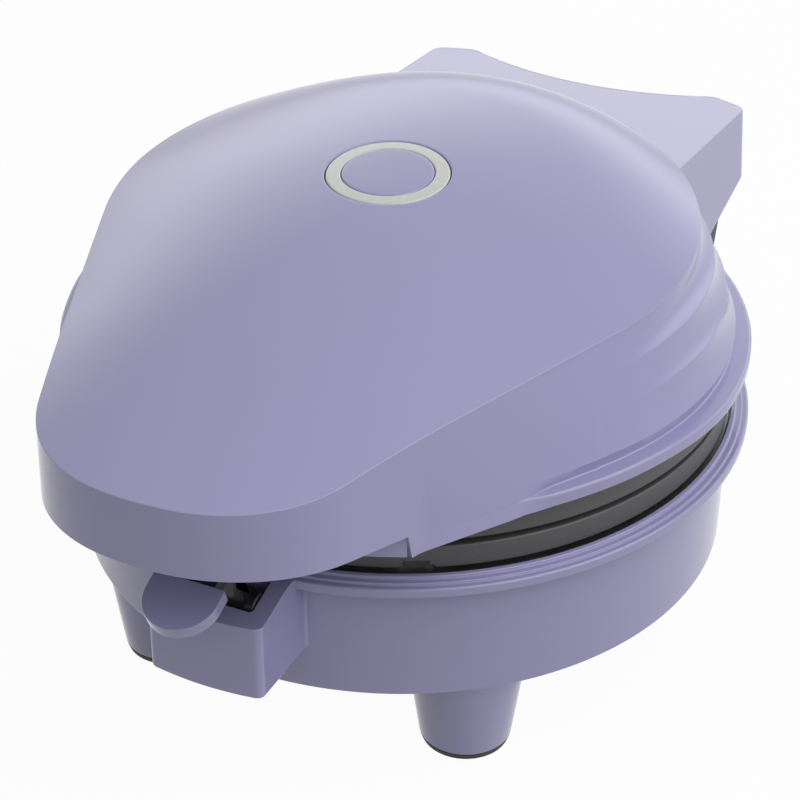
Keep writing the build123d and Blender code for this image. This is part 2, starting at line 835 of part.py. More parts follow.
def lid_wing_block(inset):
    """The lid's rear wing as a solid, drawn in by inset."""
    with BuildPart() as wing:
        with BuildSketch(Plane.XY.offset(lid_wing_rear_bottom)):
            add(wing_outline(lid_wing_flare - inset))
        with BuildSketch(Plane.XY.offset(lid_wing_rear_top)):
            add(wing_outline(-inset))
        loft(ruled=True)
        ends = wing.faces().sort_by(Axis.Z)
        extrude(ends[-1], amount=8)
        extrude(ends[0], amount=14)
        above = slanted_slab(wing_corner_y, lid_wing_rear_top - inset, lid_wing_slope, True)
        add(above, mode=Mode.SUBTRACT)
    return wing.part


def tier_profile():
    """Half section of the round stack: sloping lip, groove and three concave steps up to the crown."""
    first, second, third, crease = tier_edges
    with BuildSketch(Plane.XZ) as section:
        with BuildLine():
            Polyline(
                (first[0], first[1]),
                (groove_radius, groove_z),
                (lip_radius, lip_bottom + lip_edge),
                (lip_radius, lip_bottom),
                (0, lip_bottom),
                (0, crease[1]),
                (crease[0], crease[1]),
            )
            for upper, lower in ((crease, third), (third, second), (second, first)):
                chord = hypot(lower[0] - upper[0], upper[1] - lower[1])
                lean = atan((lower[0] - upper[0]) / (upper[1] - lower[1]))
                SagittaArc(upper, lower, -chord / 2 * sin(lean / 2) / cos(lean / 2))
        make_face()
    return section.sketch


def lid_shell_piece():
    """The lid moulding: crown and tiers with a hollow nose, a rear wing and two hinge lugs."""
    main_block = crown_block(0)
    core = crown_block(lid_wall)
    wing_block = lid_wing_block(0)
    wing_core = lid_wing_block(wing_wall)
    wing_under = slanted_slab(wing_corner_y, lid_wing_rear_bottom, -lid_wing_bottom_slope, False)
    nose_under = slanted_slab(nose_tip_y, nose_bottom, nose_bottom_slope, False)
    skirt = Pos(0, 0, crown_peak / 2) * Cylinder(skirt_radius, crown_peak)
    skirt_bore = Pos(0, 0, crown_peak / 2) * Cylinder(skirt_radius - lid_wall, crown_peak)
    round_wall = Pos(0, 0, crown_peak / 2) * Cylinder(groove_radius, crown_peak)
    under_lip = Pos(0, 0, lip_bottom / 2) * Cylinder(rim_radius + ear_gap, lip_bottom)
    upper_bore = (tier_edges[2][0] - lid_wall, tier_edges[2][1] - lid_wall)
    boss_height = crown_peak - upper_dish_top
    boss = Cylinder(boss_radius, boss_height)
    bosses = [Pos(x, y, upper_dish_top + boss_height / 2) * boss for x, y in boss_places]
    ring_seat = Pos(0, ring_y, pocket_z) * Cylinder(ring_boss, 2 * ring_boss_depth)
    with BuildPart() as lugs:
        with BuildSketch(Plane.YZ.offset(ear_outer_x - ear_width - ear_gap - lug_width)):
            with Locations((hinge_y, hinge_z)):
                Circle(barrel_radius)
            with Locations((hinge_y, hinge_z + crown_peak / 4)):
                Rectangle(2 * barrel_radius, crown_peak / 2)
        extrude(amount=lug_width)
        mirror(about=Plane.YZ)
    with BuildPart() as shell:
        add(tier_profile())
        revolve(axis=Axis.Z)
        add(main_block)
        add(nose_under - skirt, mode=Mode.SUBTRACT)
        add(wing_block - wing_under - under_lip)
        add(wing_core - round_wall, mode=Mode.SUBTRACT)
        add(core - (skirt - skirt_bore), mode=Mode.SUBTRACT)
        with BuildSketch(Plane.XZ):
            with BuildLine():
                Polyline(
                    (0, lip_bottom - 1),
                    (lip_inner_radius, lip_bottom - 1),
                    (lip_inner_radius, seat_top),
                    (stack_bore, seat_top),
                    (stack_bore, tier_edges[1][1] - lid_wall),
                    upper_bore,
                    (0, upper_bore[1]),
                    close=True,
                )
            make_face()
        revolve(axis=Axis.Z, mode=Mode.SUBTRACT)
        add(lugs.part & wing_block)
        for post in bosses:
            add(post & main_block)
        add(ring_seat & main_block)
        with BuildSketch(Plane.XY.offset(pocket_z)):
            with Locations((0, ring_y)):
                Circle(ring_pocket)
        extrude(amount=crown_peak - pocket_z, mode=Mode.SUBTRACT)
        with BuildSketch(Plane.XY.offset(pocket_z)):
            with Locations(lamp_places):
                Circle(lamp_radius + lamp_clearance)
        extrude(amount=-ring_boss_depth, mode=Mode.SUBTRACT)
        with BuildSketch(Plane.XY.offset(upper_dish_top)):
            with Locations(boss_places):
                Circle(screw_radius + fixed_fit)
        extrude(amount=screw_length, mode=Mode.SUBTRACT)
        with BuildSketch(Plane.YZ.offset(-ear_outer_x)):
            with Locations((hinge_y, hinge_z)):
                Circle(rod_radius + running_fit)
        extrude(amount=2 * ear_outer_x, mode=Mode.SUBTRACT)
        with BuildSketch(Plane.XZ.offset(skirt_radius - 2 * lid_wall)):
            with Locations((0, hook_z - hook_drop + window_height / 2)):
                Rectangle(2 * window_half_width, window_height)
        extrude(amount=3 * lid_wall, mode=Mode.SUBTRACT)
    return shell.part


def crown_inlay(outer, inner):
    """A ring or disc in the crown's pocket whose top follows the crown."""
    with BuildPart() as inlay:
        with BuildSketch(Plane.XY.offset(pocket_z)):
            with Locations((0, ring_y)):
                Circle(outer)
                if inner:
                    Circle(inner, mode=Mode.SUBTRACT)
        extrude(amount=crown_peak - pocket_z)
        add(crown_block(0), mode=Mode.INTERSECT)
    return inlay.part


def lamp_board_piece():
    """Round circuit board under the ring's seat."""
    with BuildPart() as board:
        with BuildSketch(Plane.XY.offset(pocket_z - ring_boss_depth)):
            with Locations((0, ring_y)):
                Circle(board_radius)
        extrude(amount=-board_thickness)
    return board.part


def ring_lamps_piece():
    """Two small lamps on the board, in the holes under the ring."""
    with BuildPart() as lamps:
        with BuildSketch(Plane.XY.offset(pocket_z - ring_boss_depth)):
            with Locations(lamp_places):
                Circle(lamp_radius)
        extrude(amount=lamp_height)
    return lamps.part


def terminal_block_piece():
    """Terminal block on the tub's floor, under the element's tails."""
    with BuildPart() as block:
        with BuildSketch(Plane.XY.offset(floor_top)):
            with Locations((0, terminal_y)):
                Rectangle(terminal_width, terminal_depth)
        extrude(amount=terminal_height)
    return block.part


def thermostat_piece():
    """Disc thermostat held against the underside of the lower dish."""
    with BuildPart() as disc:
        with BuildSketch(Plane.XY.offset(lower_dish_bottom)):
            Circle(thermostat_radius)
        extrude(amount=-thermostat_height)
    return disc.part


save(base_shell_piece(), "base_shell")
for side, x in (("left", -leg_x), ("right", leg_x)):
    save(foot_pad_piece(x, -leg_y), f"foot_pad_front_{side}")
    save(foot_pad_piece(x, leg_y), f"foot_pad_rear_{side}")
save(gland_piece(), "cord_gland")
save(hinge_bracket_piece(), "hinge_bracket")
bracket_face = base_wing_top + bracket_plate
save(screws_piece(bracket_screw_places, bracket_face, 1, bracket_plate + tub_wall), "bracket_screws")
save(round_bar(ear_outer_x - rod_recess, hinge_y, hinge_z, rod_radius), "hinge_rod")
lower_bead_end = lower_plate_top - plate_rim_thickness
save(reflector_piece(shelf_z, lower_dish_bottom, lower_bead_end, 1), "lower_reflector")
save(screws_piece(boss_places, lower_dish_bottom + sheet, 1, screw_length), "reflector_screws")
save(element_piece(1), "lower_element")
save(saddles_piece(lower_dish_bottom, 1), "lower_saddles")
save(plate_piece(lower_plate_top, lower_plate_side, -1), "lower_plate")
save(clips_piece(shelf_z + sheet, 1), "lower_clips")
save(thermostat_piece(), "thermostat")
fuse_z = lower_dish_bottom - fuse_radius
save(round_bar(fuse_length / 2, fuse_y, fuse_z, fuse_radius), "thermal_fuse")
save(terminal_block_piece(), "terminal_block")
base_lead_y = element_tail_end - lead_radius
base_lead_z = floor_top + terminal_height / 2
base_lead_route = [
    (terminal_width * 0.375, terminal_y + terminal_depth / 2, base_lead_z),
    (terminal_width * 0.375, base_lead_y, base_lead_z),
    (element_tail_x, base_lead_y, element_z(1) - 2 * element_radius),
    (element_tail_x, base_lead_y, element_z(1) - element_radius),
]
save(tube_piece(base_lead_route, 1.5 * lead_radius, lead_radius), "base_leads")
pin_half = trough_half_width - trough_wall + pin_seat - pin_end_gap
save(round_bar(pin_half, pivot_y, pivot_z, pin_radius), "latch_pin")
save(latch_spring_piece(), "latch_spring")
save(latch_lever_piece(), "latch_lever")
save(latch_tab_piece(), "latch_tab")
save(lid_shell_piece(), "lid_shell")
save(crown_inlay(ring_outer, ring_inner), "light_ring")
save(crown_inlay(badge_radius, 0), "ring_badge")
save(lamp_board_piece(), "lamp_board")
save(ring_lamps_piece(), "ring_lamps")
upper_bead_end = upper_plate_bottom + plate_rim_thickness
save(reflector_piece(seat_top, upper_dish_top, upper_bead_end, -1), "upper_reflector")
save(screws_piece(boss_places, upper_dish_top - sheet, -1, screw_length), "lid_screws")
save(element_piece(-1), "upper_element")
save(saddles_piece(upper_dish_top, -1), "upper_saddles")
save(plate_piece(upper_plate_bottom, upper_plate_side, 1), "upper_plate")
save(clips_piece(seat_top - sheet, -1), "upper_clips")
lid_lead_y = element_tail_end - 2 * lead_radius
lid_lead_z = element_z(-1) + element_radius
lid_lead_route = [
    (element_tail_x, lid_lead_y, lid_lead_z),
    (element_tail_x, lid_lead_y, lid_lead_z + 1.5),
    (element_tail_x - 1, dish_floor_radius - 0.5, upper_dish_top + 1.8),
    (board_radius / 2, ring_y + board_radius / 2, upper_dish_top + 6),
    (board_radius / 2, ring_y + board_radius / 2, pocket_z - ring_boss_depth - board_thickness),
]
save(tube_piece(lid_lead_route, 2 * lead_radius, lead_radius), "lid_leads")
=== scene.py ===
import bpy
import numpy as np
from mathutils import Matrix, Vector


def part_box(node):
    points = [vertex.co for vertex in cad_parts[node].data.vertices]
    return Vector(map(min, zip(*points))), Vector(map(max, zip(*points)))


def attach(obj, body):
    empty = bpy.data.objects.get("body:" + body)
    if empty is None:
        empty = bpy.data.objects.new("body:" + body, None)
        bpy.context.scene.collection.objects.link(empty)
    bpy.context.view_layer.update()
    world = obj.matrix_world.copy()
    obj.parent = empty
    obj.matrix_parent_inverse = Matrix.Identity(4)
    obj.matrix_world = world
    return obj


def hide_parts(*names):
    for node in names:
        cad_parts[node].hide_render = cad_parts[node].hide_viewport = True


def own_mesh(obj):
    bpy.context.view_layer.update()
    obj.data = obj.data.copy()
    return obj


# A small round closed grill in glossy lavender plastic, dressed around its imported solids. The solids
# are the frame: the origin is on the table under the plates' centre, +Z is up and -Y is the front.
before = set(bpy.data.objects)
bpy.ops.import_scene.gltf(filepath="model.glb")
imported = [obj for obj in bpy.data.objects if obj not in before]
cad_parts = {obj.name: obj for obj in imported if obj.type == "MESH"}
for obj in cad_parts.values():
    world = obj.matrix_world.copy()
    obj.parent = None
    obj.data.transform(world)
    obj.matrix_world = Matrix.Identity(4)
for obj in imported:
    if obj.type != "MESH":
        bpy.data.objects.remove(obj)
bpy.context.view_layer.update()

# Camera: above the front right corner of the grill, with a long lens.
camera_place = Vector((0.18115, -0.37423, 0.30827))
camera_aim = Vector((-0.00008, -0.00118, 0.04504))
camera_data = bpy.data.cameras.new("camera")
camera_data.lens = 108.15
camera_data.sensor_width = 36
camera = bpy.data.objects.new("camera", camera_data)
camera.location = camera_place
camera.rotation_euler = (camera_aim - camera_place).to_track_quat("-Z", "Y").to_euler()
bpy.context.collection.objects.link(camera)
bpy.context.scene.camera = camera
bpy.context.scene.view_settings.view_transform = "Standard"


# Lid cover: the glossy lavender lid, injection moulded in one piece and drawn as a hollow shell. Its top
# is an egg-shaped dome with straight flanks and a blunt nose. Round the rear three concave steps, a
# groove and an upright lip run under its rim, and towards the nose they fade into the straight flanks.
crown_radius = 58.3
crown_y = -1.2
crown_peak = 100.358
crown_peak_y = 12.9
crown_curve = 0.001286
side_curve, nose_curve = 0.0036, 0.0014
rear_drop = 7.1
roll_start, roll_span, roll_limit = 0.55, 0.45, 1.6
flank_slant = 21.6
flank_kink = (35.47, -69.97)
nose_tip_y = -102.38
nose_front_radius = 44.0
nose_corner_radius = 30.0
nose_foot_z = 70.0
nose_foot_slope = 0.104
crown_points = 480
mark_gap = 0.12
shell_wall = 2.0
rim_round = 0.12
crease_gap = 0.15
wall_foot = 0.3
wall_draft = 0.0129
flank_full_z = 65.0
ring_low, ring_high = (1000 * np.array(corner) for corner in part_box("light_ring"))
ring_y = (ring_low[1] + ring_high[1]) / 2
ring_outer = (ring_high[0] - ring_low[0]) / 2
pocket_radius = ring_outer + 0.2
pocket_z = ring_low[2]
pocket_edge = 0.3
boss_wall = 2.35
boss_floor = 2.2
lip_bottom = 61.9
lip_radius = 69.4
skirt_radius = 78.5
step_edges = [(57.6, 87.2), (61.0, 81.1), (63.8, 74.5), (66.1, 67.2)]
step_round = 0.35
groove = (65.6, 64.7)
groove_wall = 66.2
steps_end = 66.5
hollow_inside = [(66.4, 63.6, 0.03), (62.9, 63.6, 0.08), (62.9, 72.5, 0.45), (59, 79.1, 0.75),
                 (55.6, 84, 0.95)]
groove_plane = (31.5, 66.3)
lip_plane = (33.0, 67.4)
steps_fade, groove_fade, lip_fade = (4, -27), (-32, -52), (-40, -50)
narrow_fade, widen_fade, lip_widening = (0, -24), (-33, -50), 0.6


def hex_colour(code):
    """Linear RGBA of an sRGB hex colour."""
    value = np.array([int(code[i:i + 2], 16) for i in (1, 3, 5)]) / 255
    linear = np.where(value <= 0.04045, value / 12.92, ((value + 0.055) / 1.055) ** 2.4)
    return (*linear, 1.0)


def add(tree, kind, inputs, **settings):
    """Adds a node to a tree with its settings; inputs are socket values or sockets to link from."""
    node = tree.nodes.new(kind)
    for key, value in settings.items():
        setattr(node, key, value)
    for key, value in inputs.items():
        if isinstance(value, bpy.types.NodeSocket):
            tree.links.new(value, node.inputs[key])
        else:
            node.inputs[key].default_value = value
    return node


def new_material(name):
    """An empty node material, its tree and its Object coordinates in metres."""
    material = bpy.data.materials.new(name)
    material.use_nodes = True
    tree = material.node_tree
    tree.nodes.clear()
    return material, tree, add(tree, "ShaderNodeTexCoord", {}).outputs["Object"]


def glossy_abs(name, colour, streak):
    """Glossy ABS, injection moulded: a polished skin with faint flow streaks and a slight waviness."""
    material, tree, place = new_material(name)
    stretched = add(tree, "ShaderNodeMapping", {"Vector": place, "Scale": (1, 1, 3)})
    flow = add(tree, "ShaderNodeTexNoise", {"Vector": stretched.outputs[0], "Scale": 45, "Detail": 3})
    base = add(tree, "ShaderNodeMix", {"Factor": flow.outputs["Fac"], "A": hex_colour(colour),
                                       "B": hex_colour(streak)}, data_type="RGBA")
    wave = add(tree, "ShaderNodeTexNoise", {"Vector": place, "Scale": 260, "Detail": 2})
    speck = add(tree, "ShaderNodeTexNoise", {"Vector": place, "Scale": 2600, "Detail": 2})
    rough = add(tree, "ShaderNodeMapRange", {"Value": speck.outputs["Fac"], "To Min": 0.1, "To Max": 0.18})
    relief = add(tree, "ShaderNodeBump", {"Height": wave.outputs["Fac"], "Strength": 0.12,
                                          "Distance": 0.00008})
    skin_shader = add(tree, "ShaderNodeBsdfPrincipled", {
        "Base Color": base.outputs["Result"], "Roughness": rough.outputs["Result"],
        "Normal": relief.outputs["Normal"], "IOR": 1.53})
    add(tree, "ShaderNodeOutputMaterial", {"Surface": skin_shader.outputs[0]})
    return material


lavender = glossy_abs("glossy_lavender_abs", "#9a96be", "#9894bb")


def arc(centre, radius, start, end, count=120):
    """Points of an arc between two angles in degrees."""
    angle = np.radians(np.linspace(start, end, count))
    return np.asarray(centre) + radius * np.column_stack([np.cos(angle), np.sin(angle)])


def stations(outline, count, marks=()):
    """Closed outline read at evenly spaced lengths, with a close pair of points round each mark.
    marks are (x, y) points near the outline where an edge has to turn sharply."""
    closed = np.vstack([outline, outline[:1]])
    length = np.concatenate([[0], np.cumsum(np.hypot(*np.diff(closed, axis=0).T))])
    wanted = np.linspace(0, length[-1], count, endpoint=False)
    for mark in marks:
        near = length[np.argmin(np.hypot(*(closed - mark).T))]
        wanted = wanted[np.abs(wanted - near) > 3 * mark_gap]
        wanted = np.append(wanted, [near - mark_gap, near + mark_gap])
    wanted = np.sort(wanted)
    return np.column_stack([np.interp(wanted, length, closed[:, i]) for i in (0, 1)])


def outward(outline):
    """Unit normals of a closed outline that runs anticlockwise."""
    run = np.roll(outline, -1, 0) - np.roll(outline, 1, 0)
    normal = np.column_stack([run[:, 1], -run[:, 0]])
    return normal / np.hypot(*normal.T)[:, None]


def egg_outline():
    """Plan of the crown: nose arc, corner arc and rear circle on the right, then the same mirrored.
    The corner arc touches the nose arc inside and the straight flank, whose normal is at -slant."""
    slant = np.radians(flank_slant)
    normal = np.array([np.cos(slant), -np.sin(slant)])
    along = np.array([-np.sin(slant), -np.cos(slant)])
    nose_centre = np.array([0, nose_tip_y + nose_front_radius])
    rear_centre = np.array([0, crown_y])
    off = normal @ (rear_centre - nose_centre) + crown_radius - nose_corner_radius
    reach = nose_front_radius - nose_corner_radius
    corner_centre = nose_centre + off * normal + np.sqrt(reach**2 - off**2) * along
    turn = np.degrees(np.arctan2(*(corner_centre - nose_centre)[::-1]))
    right = np.vstack([arc(nose_centre, nose_front_radius, -90, turn),
                       arc(corner_centre, nose_corner_radius, turn, -flank_slant),
                       arc(rear_centre, crown_radius, -flank_slant, 90, 600)])
    return np.vstack([right, right[-2:0:-1] * (-1, 1)])


def smooth(value, start, end):
    """Smooth step from 0 at start to 1 at end, which may be the lower of the two."""
    share = np.clip((value - start) / (end - start), 0, 1)
    return share * share * (3 - 2 * share)


def crown_height(x, y):
    """Height of the crown: a parabola along Y, one across that is tighter at the nose, and a soft drop
    at the rear, which starts at the roll_start share of the crown's radius."""
    across = side_curve + nose_curve * smooth(y, 0, -60)
    height = crown_peak - crown_curve * (y - crown_peak_y) ** 2 - across * x * x
    out = np.hypot(x, y - crown_y)
    rearward = np.maximum(y - crown_y, 0) / np.maximum(out, 1)
    roll = np.maximum((out / crown_radius - roll_start) / roll_span, 0)
    roll = roll / (1 + (roll / roll_limit) ** 8) ** 0.125
    return height - rear_drop * rearward**2.0 * roll**2.6


def skin(loops, ring=False):
    """Points and faces of a closed surface over loops, an array (loops, points, 3) in millimetres.
    Quads join neighbouring loops. A ring joins the last loop to the first, and otherwise the first and
    last loops close with a fan to their middle."""
    loops = np.asarray(loops, float)
    count, points = loops.shape[:2]
    index = np.arange(count * points).reshape(count, points)
    upper = index if ring else index[:-1]
    lower = np.roll(index, -1, 0) if ring else index[1:]
    quads = np.stack([upper, lower, np.roll(lower, -1, 1), np.roll(upper, -1, 1)], -1).reshape(-1, 4)
    vertices = loops.reshape(-1, 3)
    faces = quads.tolist()
    if not ring:
        poles = loops[[0, -1]].mean(axis=1)
        first, last = np.full(points, len(vertices)), np.full(points, len(vertices) + 1)
        vertices = np.vstack([vertices, poles])
        faces += np.column_stack([first, index[0], np.roll(index[0], -1)]).tolist()
        faces += np.column_stack([last, np.roll(index[-1], -1), index[-1]]).tolist()
    a, b, c, d = (vertices[quads[:, i]] for i in range(4))
    volume = np.einsum("ij,ij->", a, np.cross(b, c)) + np.einsum("ij,ij->", a, np.cross(c, d))
    if volume < 0:
        faces = [face[::-1] for face in faces]
    return vertices, faces


def piece(name, skins, material, body, replaces=(), sharp=35):
    """One object in metres from closed skins, which rides on a body and stands for CAD nodes."""
    vertices, faces, start = [], [], 0
    for points, polygons in skins:
        vertices.append(points * 0.001)
        faces += [[corner + start for corner in polygon] for polygon in polygons]
        start += len(points)
    mesh = bpy.data.meshes.new(name)
    mesh.from_pydata(np.vstack(vertices).tolist(), [], faces)
    mesh.materials.append(material)
    mesh.shade_smooth()
    mesh.set_sharp_from_angle(angle=np.radians(sharp))
    made = bpy.data.objects.new(name, mesh)
    bpy.context.collection.objects.link(made)
    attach(made, body)
    if replaces:
        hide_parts(*replaces)
    return made


def raised(plan, height):
    """A loop in space from a plan outline and its height or heights."""
    return np.column_stack([plan, np.broadcast_to(height, len(plan))])


def quarter(steps=6):
    """Inward and downward shares of a quarter round, from its top edge to its side."""
    angle = np.linspace(0, np.pi / 2, steps + 1)
    return list(zip(1 - np.sin(angle), 1 - np.cos(angle)))


def rounded(corners, radii, steps=6, hold=0.2):
    """Closed polygon with its corners rounded to tangent arcs, with a point just beyond each arc that
    keeps the flats flat: corners is (n, 2), with one radius for each corner, and 0 keeps it sharp."""
    corners = np.asarray(corners, float)
    out = []
    for i, radius in enumerate(np.broadcast_to(radii, len(corners))):
        here = corners[i]
        before, after = corners[i - 1] - here, corners[(i + 1) % len(corners)] - here
        if radius == 0:
            out.append(here[None])
            continue
        before, after = before / np.hypot(*before), after / np.hypot(*after)
        half = np.arccos(np.clip(before @ after, -1, 1)) / 2
        reach = radius / np.tan(half)
        middle = before + after
        centre = here + middle / np.hypot(*middle) * radius / np.sin(half)
        first = here + reach * before - centre
        last = here + reach * after - centre
        start = np.arctan2(first[1], first[0])
        sweep = (np.arctan2(last[1], last[0]) - start + np.pi) % (2 * np.pi) - np.pi
        turn = start + sweep * np.linspace(0, 1, steps + 1)
        bend = centre + radius * np.column_stack([np.cos(turn), np.sin(turn)])
        held = [here + (reach + hold) * before], [here + (reach + hold) * after]
        out.append(np.vstack([held[0], bend, held[1]]))
    return np.vstack(out)


def hollow_step(upper, lower, steps=8):
    """Points of the concave arc between two tier edges: it leaves the upper one upright."""
    upper, lower = np.array(upper), np.array(lower)
    chord = np.hypot(*(lower - upper))
    lean = np.arctan2(lower[0] - upper[0], upper[1] - lower[1])
    sag = chord / 2 * np.tan(lean / 2)
    share = np.linspace(0, 1, steps + 1)[1:-1, None]
    inward = np.array([-np.cos(lean), -np.sin(lean)])
    return upper + share * (lower - upper) + 4 * share * (1 - share) * sag * inward


def step_profile():
    """Outer profile of the rear, as points (radius, height) from the crease down to the lip's inside."""
    corners, radii = [step_edges[0]], [0]
    for upper, lower in zip(step_edges[:-1], step_edges[1:]):
        corners += [*hollow_step(upper, lower), lower]
        radii += [0] * 7 + [step_round]
    corners += [groove, (lip_radius, groove[1] - 0.2), (lip_radius, lip_bottom), (66.4, lip_bottom)]
    return rounded(corners, radii + [0.3, 0.7, 0.25, 0], hold=0.04)


def cover_loops():
    """Loops of the cover: pocket, dome, rim, short wall, then each point of the step profile laid
    between the round rear and the flank, and the way back inside to the boss under the pocket. On the
    rear a point lies on a circle round the axis, and on the flank at a distance from the egg."""
    egg = stations(egg_outline(), crown_points, [flank_kink, (-flank_kink[0], flank_kink[1])])
    normal = outward(egg)
    reach = np.hypot(*egg.T)
    radial = egg / reach[:, None]
    bearing = np.degrees(np.arctan2(egg[:, 1], np.abs(egg[:, 0])))
    under_nose = reach > skirt_radius
    foot = np.where(under_nose, nose_foot_z - nose_foot_slope * (egg[:, 1] - nose_tip_y), lip_bottom)

    def to_plane(slant, distance):
        """How far outside the egg a vertical plane stands that faces out and forward by slant: far
        inside, -9, where the egg doesn't face it."""
        side = np.cos(np.radians(slant)) * np.sign(egg[:, 0])
        facing = np.column_stack([side, np.full(len(egg), -np.sin(np.radians(slant)))])
        gap = (distance - (facing * egg).sum(1)) / np.maximum((facing * normal).sum(1), 0.3)
        return np.where(bearing < -slant, gap, -9)

    rear_wall = np.where(bearing > -groove_plane[0], groove_wall - reach, 0)
    at_groove = np.where(under_nose, 0, np.maximum(np.maximum(to_plane(*groove_plane), rear_wall), 0))
    at_lip = np.where(under_nose, 0, np.maximum(np.maximum(to_plane(*lip_plane), lip_radius - reach), 0))

    def drafted(height):
        """How far the wall's draft carries it outside the egg at a height."""
        return wall_foot - wall_draft * (height - lip_bottom)

    def grow(height, more=0):
        """The egg moved out by the wall's draft at a height, and by a little more."""
        return egg + (drafted(height) + more)[:, None] * normal

    centre = np.array([0, ring_y])
    toward = (egg - centre) / np.hypot(*(egg - centre).T)[:, None]
    floor_radii = (4, 8, pocket_radius - pocket_edge, pocket_radius)
    loops = [raised(centre + radius * toward, pocket_z) for radius in floor_radii]
    edge = centre + pocket_radius * toward
    for inward, down in reversed(quarter(4)):
        circle = edge + pocket_edge * inward * toward
        loops.append(raised(circle, crown_height(*circle.T) - pocket_edge * down))
    start = edge + pocket_edge * toward
    rim = grow(crown_height(*egg.T))
    stop = rim - rim_round * normal
    dome_shares = np.concatenate([[0.004, 0.012], np.linspace(0.03, 0.97, 34), [0.99, 0.997, 1]])
    for share in dome_shares:
        plan = start + share * (stop - start)
        loops.append(raised(plan, crown_height(*plan.T)))
    for inward, down in quarter(7)[1:]:
        plan = rim - rim_round * inward * normal
        loops.append(raised(plan, crown_height(*plan.T) - rim_round * down))

    rim_edge, first_edge, _, last_edge = step_edges
    crease = np.minimum(rim_edge[1], loops[-1][:, 2] - crease_gap)
    loops.append(raised(grow(crease + crease_gap / 3), crease + crease_gap / 3))
    steps_to_flank = smooth(bearing, *steps_fade)[:, None]
    lip_to_flank = smooth(bearing, *lip_fade)[:, None]
    groove_share = 1 - smooth(bearing, *groove_fade)
    narrowed = smooth(bearing, *narrow_fade) - lip_widening * smooth(bearing, *widen_fade)
    lip_reach = lip_radius - narrowed

    def leaning(flank_z):
        """How far the flank has leaned out from the egg at a height, from none at the crease."""
        return at_groove * np.clip((crease - flank_z) / (crease - flank_full_z), 0, 1)

    for radius, height in step_profile():
        lip_part = height < steps_end
        first_share = np.clip((height - first_edge[1]) / (rim_edge[1] - first_edge[1]), 0, 1)
        round_z = height - first_share * (rim_edge[1] - crease)
        far = np.full(len(egg), radius)
        if lip_part:
            beyond = radius - last_edge[0]
            share = beyond / (lip_radius - last_edge[0])
            far = wall + (share * (lip_reach - wall) if share > 0 else beyond * groove_share)
        far = np.maximum(far, reach + drafted(round_z))
        around = raised(far[:, None] * radial, round_z)
        if lip_part:
            flank_z = foot + height - lip_bottom
        else:
            low_z = foot + steps_end - lip_bottom
            flank_z = crease + (rim_edge[1] - height) / (rim_edge[1] - steps_end) * (low_z - crease)
        stand = leaning(flank_z)
        if radius > groove[0] and height < groove[1]:
            stand = stand + (groove[1] - height) / (groove[1] - lip_bottom) * (at_lip - stand)
        if height == lip_bottom:
            stand = at_lip - (lip_radius - radius) * 2 / 3
        flank = raised(grow(flank_z, stand), flank_z)
        share = lip_to_flank if lip_part else steps_to_flank
        loops.append(around + share * (flank - around))
        if not lip_part:
            wall = np.hypot(*loops[-1][:, :2].T)

    inner_top = crown_height(*(egg - shell_wall * normal).T) - shell_wall
    to_nose = smooth(reach, 66, 69)[:, None]
    for radius, height, share in hollow_inside:
        around = raised(radius * radial, height)
        flank_z = foot + share * (inner_top - foot)
        flank = raised(grow(flank_z, leaning(flank_z) - shell_wall), flank_z)
        loops.append(around + to_nose * (flank - around))
    inner = grow(inner_top, -shell_wall)
    loops.append(raised(inner, inner_top))
    boss = centre + (pocket_radius + boss_wall) * toward
    for share in (0.03, 0.25, 0.5, 0.75, 1):
        plan = inner + share * (boss - inner)
        loops.append(raised(plan, crown_height(*plan.T) - shell_wall))
    loops.append(raised(boss, pocket_z - boss_floor))
    loops.append(raised(centre + 6 * toward, pocket_z - boss_floor))
    return np.array(loops)


piece("lid_cover", [skin(cover_loops())], lavender, "lid", ["lid_shell"], sharp=30)


# Lid skirt: the curved wall under the nose, round the front of the tiers, with the window that the
# latch's hook enters. It is part of the same lavender moulding.
skirt_half_angle = 26.4
window_half = 7.0
window_z = (64.0, 67.4)
skirt_into_roof = 1.0


def skirt_loops(count=160, rings=14):
    """Loops from the wall's outer edge in to the window on the front face and out again on the back.
    They are worked out in angle and height, and then laid on the two cylinders."""
    turn = np.linspace(0, 2 * np.pi, count, endpoint=False)
    square = np.maximum(np.abs(np.cos(turn)), np.abs(np.sin(turn)))
    unit = np.column_stack([np.cos(turn), np.sin(turn)]) / square[:, None]
    window_middle = sum(window_z) / 2
    window_side = np.degrees(window_half / skirt_radius)
    inner = unit * (window_side, (window_z[1] - window_z[0]) / 2) + (0, window_middle)
    outer = unit * (skirt_half_angle, 1)
    reach = np.radians(outer[:, 0])
    roof = crown_height(skirt_radius * np.sin(reach), -skirt_radius * np.cos(reach)) - skirt_into_roof
    outer[:, 1] = lip_bottom + (outer[:, 1] + 1) / 2 * (roof - lip_bottom)
    share = np.linspace(0, 1, rings)[:, None, None]
    flat = outer + share * (inner - outer)
    faces = []
    for radius, sheet in ((skirt_radius, flat), (skirt_radius - shell_wall, flat[::-1])):
        angle = np.radians(sheet[:, :, 0])
        faces.append(np.stack([radius * np.sin(angle), -radius * np.cos(angle), sheet[:, :, 1]], -1))
    return np.vstack(faces)


piece("lid_skirt", [skin(skirt_loops(), ring=True)], lavender, "lid")


# Lid wing: the hollow rear part of the lid over the hinge, with straight sides, rounded tips and a
# concave waist. It is open below, and two lugs inside it carry the hinge rod.
wing_half = 38.0
wing_corner_y = 96.2
wing_tip = (29.5, 99.7)
wing_waist_y = 91.6
wing_wall = 1.8
wing_roof_z, wing_roof_slope = 76.9, 0.1
wing_foot_z, wing_foot_slope = 61.0, 0.23
wing_flare_height = 17.7
wing_top_round = 0.35
wing_foot_round = 0.3
hinge_y, hinge_z = 81.0, 54.5
barrel_radius = 6.5


